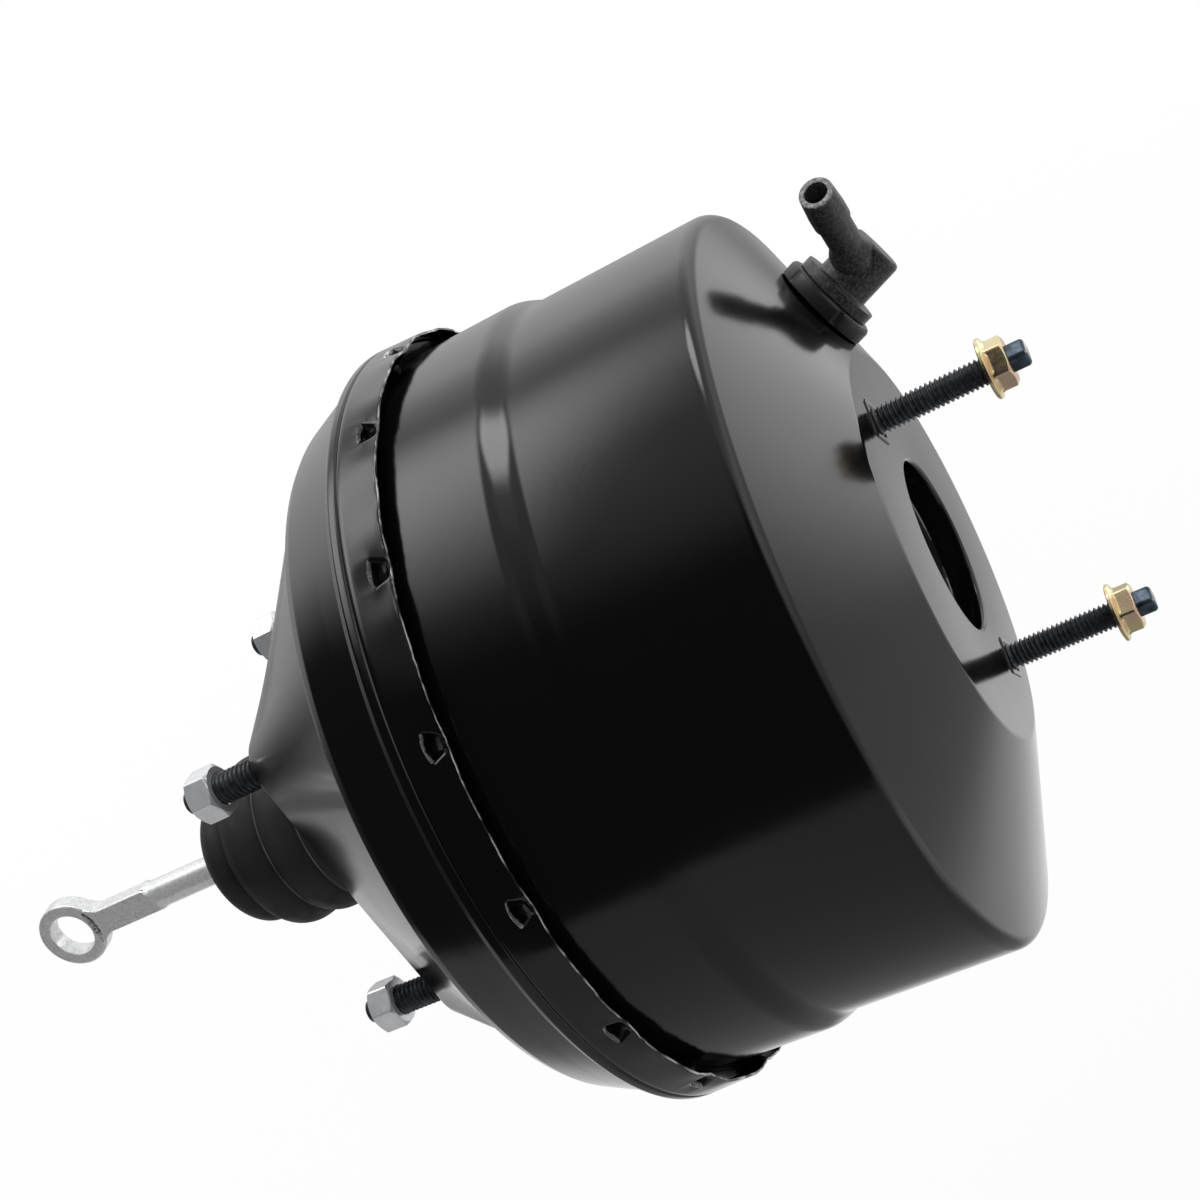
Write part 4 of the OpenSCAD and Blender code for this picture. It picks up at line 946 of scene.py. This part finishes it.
def hex_nut_mesh(name, across_flats, height, bore, flange=0.0):
    """A nut along X from its bearing face, with arcs where its chamfers cut the flats."""
    angle = round_angles(144)
    outline = hexagon(angle, across_flats, 0.12 * MM)
    half = across_flats / 2
    fall = (outline - half * 0.96) * math.tan(math.radians(30))
    if flange > 0:
        foot = [(0, bore + 0.5 * MM), (0, flange - 0.35 * MM), (0.25 * MM, flange),
                (0.95 * MM, flange), (1.2 * MM, flange - 0.25 * MM),
                (1.65 * MM, flange - 1.3 * MM),
                (2.1 * MM, np.maximum(outline + 0.15 * MM, half)), (2.4 * MM, outline)]
    else:
        foot = [(0, bore + 0.6 * MM), (0, half * 0.95), (fall, outline - 0.10 * MM),
                (fall + 0.12 * MM, outline)]
    head = [(height - fall - 0.12 * MM, outline), (height - fall, outline - 0.10 * MM),
            (height - 0.02 * MM, half * 0.97), (height, half * 0.93),
            (height, bore + 0.65 * MM), (height - 0.6 * MM, bore), (0.6 * MM, bore)]
    return ring_mesh(name, [ring(x, radius, angle) for x, radius in foot + head], True)


def nuts(name, mesh, places, turn, material, first_turn=0.0):
    """Copies of one nut on the studs' points."""
    mesh.transform(Matrix.Rotation(first_turn, 4, "X"))
    nut = finish_mesh("one_nut", mesh, material, 25)
    points = bpy.data.meshes.new("nut_points")
    points.from_pydata(places, [], [])
    piece = grown(name, COPIES, {"Piece": nut, "Turn": turn, "Material": material}, points, 25)
    bpy.data.objects.remove(nut)
    return piece


def make_front_nuts():
    across_flats, bore, flange_r = 12.7 * MM, 3.55 * MM, 8.65 * MM
    height = FRONT_NUTS[1][0] - FRONT_NUTS[0][0]
    mesh = hex_nut_mesh("flange_nut", across_flats, height, bore, flange_r)
    places = [(FRONT_NUTS[0][0], 0, z) for z in (-MASTER_STUD_Z, MASTER_STUD_Z)]
    piece = nuts("flange_nuts", mesh, places, math.radians(17), YELLOW, math.radians(8))
    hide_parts("master_cylinder_nuts")
    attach(piece, "housing")


def make_rear_nuts():
    across_flats, bore, height = 14.3 * MM, 4.3 * MM, REAR_NUTS[1][0] - REAR_NUTS[0][0]
    mesh = hex_nut_mesh("plain_nut", across_flats, height, bore)
    places = rear_stud_places(REAR_NUTS[0][0])
    piece = nuts("hex_nuts", mesh, places, math.radians(13), BRIGHT, math.radians(10))
    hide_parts("firewall_nuts")
    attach(piece, "housing")


def make_rear_studs():
    """Rear studs: plain foot, thread and a domed tip."""
    foot, tip = 1.0 * MM, 2.2 * MM
    crest_r, tooth, pitch = 4.7 * MM, 0.92 * MM, 1.5875 * MM
    length = -REAR_STUDS[0][0] - tip
    pieces = []
    for _, y, z in rear_stud_places(0):
        place = along_x(0, y, z, True)
        pieces.append(stud_foot(place, foot, 4.4 * MM, 7.4 * MM, 4.76 * MM, 4.1 * MM))
        pieces.append(thread("thread", crest_r, tooth, pitch, length - foot + THREAD_LAP,
                             OXIDE, along_x(THREAD_LAP - foot, y, z, True)))
        dome = [(-0.6, 0), (-0.6, 3.95), (0.5, 3.95), (1.3, 3.5), (1.9, 2.5), (2.2, 1.2), (2.2, 0)]
        pieces.append(turned("tip", [(x * MM, r * MM) for x, r in dome], OXIDE, 48,
                             place=along_x(-length, y, z, True)))
    studs = joined("rear_studs", pieces)
    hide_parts("firewall_studs")
    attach(studs, "housing")


def make_boot():
    """Bellows boot: domed nose round the rod, two folds and a foot on the shell."""
    folds = [[(-62.0, 9.4), (-61.5, 11.4), (-60.6, 13.6), (-58.4, 18), (-55.8, 21.2), (-53, 23.1),
              (-50.5, 23.6), (-48.6, 23.2), (-47.5, 22.5)],
             [(-47.1, 22.5), (-46, 24.6), (-44, 26.6), (-41.5, 28), (-38.5, 28.5), (-35.5, 28.1),
              (-33, 27.3), (-31.7, 26.5)],
             [(-31.3, 26.5), (-30, 27.5), (-27.5, 28.4), (-25, 28.6), (-22.5, 28.2), (-20, 27.4),
              (-18.7, 26.6)],
             [(-18.3, 26.6), (-17, 26.9), (-10, 26.8), (-4, 26.8), (-2.5, 27.2), (-0.12, 27.2)]]
    outer = np.vstack([smooth_line(fold) for fold in folds]) * MM
    inner = [(-0.12, 24.9), (1.3, 24.9), (1.3, 22.6), (-3, 22.6), (-18, 24.4), (-31.4, 24.5),
             (-38.5, 26.4), (-47.2, 20.6), (-53, 21.3), (-55.6, 19.2), (-57.6, 16.4),
             (-59.4, 12.8), (-60.6, 9.4)]
    profile = np.vstack([outer, np.array(inner) * MM])
    boot = turned("bellows_boot", profile, BOOT_RUBBER, 192, 50)
    boot.data.materials.append(CREASE_HIGHLIGHT)
    # The outside faces at each crease take the lighter grey, a painted highlight along the fold.
    creases = [fold[0][0] * MM - 0.2 * MM for fold in folds[1:]]
    skin_r, near = 22 * MM, 0.05 * MM
    for face in boot.data.polygons:
        outside = math.hypot(face.center.y, face.center.z) > skin_r
        if outside and min(abs(face.center.x - x) for x in creases) < near:
            face.material_index = 1
    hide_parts("boot")
    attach(boot, "housing")
    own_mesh(boot)
    make_boot_collar()


def make_boot_collar():
    """The boot's inner collar, tight on the rod, which moves with it behind the nose."""
    path = [(-58, 4.92), (-58, 5.1), (-56.4, 5.1), (-55.6, 6.2), (-55.5, 13.5, 0.4),
            (-54.5, 13.5, 0.4), (-54.4, 4.92)]
    collar = turned("boot_collar", rounded(path) * MM, BOOT_RUBBER, 96, 50)
    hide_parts("boot")
    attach(collar, "input_rod")


def rod_section(x, angle):
    """Cross-section of the push rod: round, then forged to a flat bar behind a shoulder."""
    shoulder_x, nub_x, flare_x = -91 * MM, -92 * MM, -112.5 * MM
    shank_r, bar_t, bar_w, bar_corner = 4.9, 3.4, 4.75, 5.45
    t = min(max((shoulder_x - x) / (1.8 * MM), 0), 1)
    flat_t, flat_w, corner = (shank_r + (size - shank_r) * t
                              for size in (bar_t, bar_w, bar_corner))
    flat_w += 2.4 * min(max((flare_x - x) / (5 * MM), 0), 1) ** 2
    corner += flat_w - bar_w if flat_w > shank_r else 0
    c, s = np.cos(angle), np.sin(angle)
    radius = np.minimum(flat_t / np.maximum(np.abs(c), 1e-6), flat_w / np.maximum(np.abs(s), 1e-6))
    radius = np.minimum(radius, corner) * MM
    nub = 0.45 * MM * math.exp(-((x - nub_x) / (0.9 * MM)) ** 2)
    radius = radius + nub * (s > 0.86)
    slant = 0.35 * math.exp(-((x - nub_x) / (4 * MM)) ** 2)
    return np.stack([x - slant * radius * s, radius * c, radius * s], axis=1)


def rod_disc(name, start, end, radius, around):
    path = np.array([(start, 0), (start, radius), (end, radius), (end, 0)]) * MM
    return turned(name, path, SATIN, around)


def make_push_rod():
    """Push rod in satin zinc: round shank, collar, flat bar and the pin eye."""
    eye_x, eye_turn = -126.8 * MM, math.radians(-6.7)
    bore_r, eye_r, eye_half = 7.6, 11.75, 3.4
    ball_x, ball_r = 22, 6
    corners = np.radians(np.linspace(49, 61, 13))
    angle = [np.linspace(0, TURN, 64, endpoint=False)]
    angle += [corners, math.pi - corners, math.pi + corners, TURN - corners]
    angle = np.unique(np.concatenate(angle).round(6))
    stations = np.concatenate([np.linspace(6.5, -87, 20), np.linspace(-88, -96, 33),
                               np.linspace(-98, -112, 6), np.linspace(-112.5, -118.4, 12)]) * MM
    rows = [rod_section(stations[0], angle) * (1, 0, 0)]
    rows += [rod_section(x, angle) for x in stations]
    rows += [rod_section(stations[-1], angle) * (1, 0, 0)]
    mesh = ring_mesh("shank", rows, False)
    mesh.transform(Matrix.Rotation(eye_turn, 4, "X"))
    shank = finish_mesh("shank", mesh, SATIN, 24)
    eye = rounded([(0, bore_r), (-eye_half, bore_r, 0.5), (-eye_half, eye_r, 0.9),
                   (eye_half, eye_r, 0.9), (eye_half, bore_r, 0.5), (0, bore_r)], 5)[:-1] * MM
    place = (Matrix.Translation((eye_x, 0, 0)) @ Matrix.Rotation(eye_turn, 4, "X")
             @ Matrix.Rotation(math.pi / 2, 4, "Z"))
    pin_eye = turned("eye", eye, SATIN, 96, 30, place)
    ball = [(ball_x + ball_r * math.cos(a), ball_r * math.sin(a))
            for a in np.linspace(0, math.pi, 25)]
    ball = turned("ball", np.array([(x, max(r, 0)) for x, r in ball]) * MM, SATIN, 48)
    neck = rod_disc("neck", 5, 18, 4.1, 48)
    collar = rod_disc("collar", -21.5, -20, 11.4, 64)
    rod = joined("push_rod", [shank, pin_eye, ball, neck, collar])
    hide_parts("input_pushrod")
    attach(rod, "input_rod")


def mount_axis(name):
    mounts = {mount["name"]: mount for mount in frame["record"]["mounts"]}
    return Vector(mounts[name]["axis"])


# Check valve, drawn along +X from the cone's surface
VALVE_R, VALVE_ANGLE = 75.4 * MM, math.radians(33.4)


def valve_place():
    station = PAD_X - (VALVE_R - PAD_R) * math.tan(CONE_ANGLE)
    place = Matrix.Rotation(-VALVE_ANGLE, 4, "X") @ Matrix.Translation((station, 0, VALVE_R))
    place = place @ Matrix.Rotation(math.pi / 2 - CONE_ANGLE, 4, "Y")
    return place @ Matrix.Rotation(-math.pi / 2, 4, "Y")


def make_grommet():
    """Rubber grommet with a few moulded notches round its head."""
    depth, count = 0.6 * MM, 5

    def notches(angle, station):
        if station < 0.5 * MM or station > 4.6 * MM:
            return 0 * angle
        return -depth * np.clip(np.cos(count * angle) * 16 - 15, 0, 1)

    path = [(-4.8, 7.1), (-4.8, 10.2), (-3, 11.2), (-2, 9.55), (0.1, 9.55), (0.1, 14.2),
            (0.4, 14.6), (1.2, 14.6), (4.0, 14.6), (4.8, 14.1), (5.1, 13.4), (5.1, 7.1)]
    grommet = turned("valve_grommet_skin", np.array(path) * MM, SEAL_RUBBER, 240, 40,
                     valve_place(), notches)
    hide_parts("valve_grommet")
    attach(grommet, "housing")


def make_check_valve():
    """Elbow check valve: stem and disc, round body, hose nipple with its barb."""
    stem_r, disc_r, hose_r, barb_r, air_r, end = 6.9, 12.2, 4.75, 5.35, 3.25, 36.7
    body = rounded([(-8, 0), (-8, 5.9, 0.6), (-6.5, stem_r), (5.2, stem_r), (5.25, 8.0),
                    (5.25, disc_r, 0.25), (8.6, disc_r, 0.25), (8.6, 8.2, 1.0),
                    (23.4, 8.0, 1.6), (23.4, 0)], 5) * MM
    pieces = [turned("valve_body", body, VALVE_PLASTIC, 96, 35, valve_place())]
    nipple = rounded([(0, 0), (0, 6.5), (8.6, 6.3, 1), (12.4, hose_r, 2), (23.4, hose_r),
                      (23.8, barb_r, 0.2), (28.4, barb_r, 1), (36.4, 4.85, 0.3), (end, 4.7),
                      (end, air_r, 0.2), (18, air_r), (18, 0)], 4) * MM
    root = valve_place() @ Vector((16 * MM, 0, 0))
    aim = mount_axis("hose_nipple").to_track_quat("X", "Z")
    place = Matrix.Translation(root) @ aim.to_matrix().to_4x4()
    pieces.append(turned("nipple", nipple, VALVE_PLASTIC, 64, 35, place))
    pieces[1].data.materials.append(SCUFFED)
    back, mouth_x = place.inverted(), (end - 0.35) * MM
    for face in pieces[1].data.polygons:
        if (back @ face.center).x > mouth_x:
            face.material_index = 1
    valve = joined("elbow_valve", pieces)
    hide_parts("check_valve_body")
    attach(valve, "check_valve")


# Floor, studio and lamps
def floor_material():
    """White to the eye, with a faint shadow of the object."""
    material = bpy.data.materials.new("pale_floor")
    material.use_nodes = True
    n = Nodes(material.node_tree)
    plain = n.tree.nodes["Principled BSDF"]
    n.set(plain, {"Base Color": (0.82, 0.82, 0.82, 1), "Roughness": 0.9,
                  "Specular IOR Level": 0.0})
    glow = n.node("Emission", {"Strength": 1.0})
    place = n.node("TexCoord").outputs["Object"]
    far = n.node("VectorMath", {0: place}, operation="LENGTH").outputs["Value"]
    white = n.math("MULTIPLY", n.map(far, 0.2, 1.2, 0.93, 1.0), n.seen_directly())
    mix = n.node("MixShader", {0: white, 1: plain.outputs[0], 2: glow.outputs[0]})
    n.set(n.tree.nodes["Material Output"], {"Surface": mix.outputs[0]})
    return material


def grey_stops(levels, top):
    """Ramp stops from (elevation in degrees, level) pairs."""
    return [((elevation + 90) / 180, (level / top,) * 3) for elevation, level in levels]


class Studio(Nodes):
    """The soft studio round the object, by direction from the middle of its dome."""

    def __init__(self, tree):
        super().__init__(tree)
        place = self.node("TexCoord").outputs["Object"]
        self.toward = self.node("VectorMath", {0: place}, operation="NORMALIZE").outputs[0]
        height = self.node("SeparateXYZ", {0: self.toward}).outputs[2]
        self.elevation = self.math("MULTIPLY", self.math("ARCSINE", height), 180 / math.pi)

    def beside(self, azimuth):
        """Degrees round from an azimuth, to either side."""
        turned_back = self.node("VectorRotate", {"Vector": self.toward,
                                                 "Angle": -math.radians(azimuth)},
                                rotation_type="Z_AXIS")
        parts = self.node("SeparateXYZ", {0: turned_back.outputs[0]}).outputs
        angle = self.math("ARCTAN2", parts[1], parts[0])
        return self.math("MULTIPLY", self.math("ABSOLUTE", angle), 180 / math.pi)

    def levels(self, stops, top=2.0):
        share = self.map(self.elevation, -90, 90, 0, 1)
        return self.math("MULTIPLY", self.ramp(share, grey_stops(stops, top)), top)

    def patch(self, azimuth, elevation, wide, high, soft):
        """1 inside an oval patch, falling to 0 over its soft border."""
        across = self.math("DIVIDE", self.beside(azimuth), wide)
        up = self.math("DIVIDE", self.math("SUBTRACT", self.elevation, elevation), high)
        square = self.math("ADD", self.math("MULTIPLY", across, across),
                           self.math("MULTIPLY", up, up))
        return self.map(self.math("SQRT", square), 1 - soft, 1 + soft, 1, 0, "SMOOTHSTEP")

    def blend(self, share, first, second):
        gap = self.math("SUBTRACT", second, first)
        return self.math("ADD", first, self.math("MULTIPLY", gap, share))


# Azimuth, elevation, half width, half height in degrees, softness, brightness
STUDIO_PATCHES = [(164, 61, 42, 11, 0.6, 3.8), (62, 70, 42, 9, 0.35, 5.5),
                  (50, -6, 20, 14, 0.6, 2.0), (33, -34, 16, 12, 0.6, 0.5)]


def studio_material():
    material = bpy.data.materials.new("soft_studio")
    material.use_nodes = True
    n = Studio(material.node_tree)
    room = n.levels([(-90, 0.3), (-62, 0.3), (-50, 0.9), (-36, 1.05), (-30, 0.70), (-20, 0.55),
                     (-10, 0.45), (8, 0.83), (30, 1.4), (38, 1.1), (47, 0.8), (90, 0.6)])
    dark = n.levels([(-90, 0.28), (-40, 0.34), (-24, 0.37), (-21, 0.03), (44, 0.03), (50, 0.08),
                     (59, 0.3), (67, 0.42), (90, 0.6)])
    level = n.blend(n.map(n.beside(-112), 72, 98, 1, 0, "SMOOTHSTEP"), room, dark)
    for azimuth, elevation, wide, high, soft, bright in STUDIO_PATCHES:
        level = n.blend(n.patch(azimuth, elevation, wide, high, soft), level, bright)
    glow = n.node("Emission", {"Strength": level})
    n.tree.nodes.remove(n.tree.nodes["Principled BSDF"])
    n.set(n.tree.nodes["Material Output"], {"Surface": glow.outputs[0]})
    return material


MIDDLE = Vector((0.12, 0, 0))


def stage_piece(name, mesh, material, place):
    mesh.materials.append(material)
    obj = linked(name, mesh)
    obj.location = place
    return obj


def make_floor():
    mesh = bpy.data.meshes.new("floor")
    half = 12.0
    mesh.from_pydata([(-half, -half, 0), (half, -half, 0), (half, half, 0), (-half, half, 0)], [],
                     [(0, 1, 2, 3)])
    floor = stage_piece("floor", mesh, floor_material(), (0.1, 0, -0.32))
    floor.visible_glossy = False


def make_studio_dome():
    """A soft studio that only reflections see, as a photographer sets round a glossy thing."""
    radius, rings, around = 1.9, 24, 48
    tilt = np.linspace(-math.pi / 2, math.pi / 2, rings + 1)
    profile = np.stack([radius * np.sin(tilt), radius * np.maximum(np.cos(tilt), 0)], axis=1)
    mesh = turned_mesh("studio_dome", profile, around)
    mesh.transform(Matrix.Rotation(-math.pi / 2, 4, "Y"))
    mesh.shade_smooth()
    material = studio_material()
    material.cycles.emission_sampling = "NONE"
    dome = stage_piece("studio_dome", mesh, material, MIDDLE)
    dome.visible_camera = False
    dome.visible_diffuse = False
    dome.visible_transmission = False
    dome.visible_volume_scatter = False
    dome.visible_shadow = False


def softbox(name, width, depth, level, azimuth, elevation, distance):
    data = bpy.data.lights.new(name, "AREA")
    data.shape = "RECTANGLE"
    data.size, data.size_y = width, depth
    data.energy = level * math.pi * width * depth
    lamp = linked(name, data)
    a, e = math.radians(azimuth), math.radians(elevation)
    toward = Vector((math.cos(e) * math.cos(a), math.cos(e) * math.sin(a), math.sin(e)))
    lamp.location = MIDDLE + distance * toward
    lamp.rotation_euler = (-toward).to_track_quat("-Z", "Y").to_euler()
    lamp.visible_glossy = False


def set_studio():
    world = bpy.data.worlds.new("studio")
    bpy.context.scene.world = world
    world.use_nodes = True
    n = Nodes(world.node_tree)
    dim = n.tree.nodes["Background"]
    n.set(dim, {"Color": (1, 1, 1, 1), "Strength": 0.55})
    white = n.node("Background", {"Color": (1, 1, 1, 1), "Strength": 1.0})
    mix = n.node("MixShader", {0: n.seen_directly(), 1: dim.outputs[0], 2: white.outputs[0]})
    n.set(n.tree.nodes["World Output"], {"Surface": mix.outputs[0]})
    make_floor()
    make_studio_dome()
    softbox("top_softbox", 1.6, 0.42, 5.0, 145, 72, 1.5)
    softbox("side_softbox", 0.7, 0.6, 2.0, 52, -4, 1.6)
    softbox("front_softbox", 1.2, 1.0, 1.0, -80, 25, 1.8)
    bpy.context.scene.view_settings.view_transform = "Standard"


set_camera()
dress_cad_nodes()
make_front_shell()
make_rear_shell()
make_lip()
make_front_studs()
make_front_nuts()
make_rear_studs()
make_rear_nuts()
make_boot()
make_push_rod()
make_grommet()
make_check_valve()
set_studio()
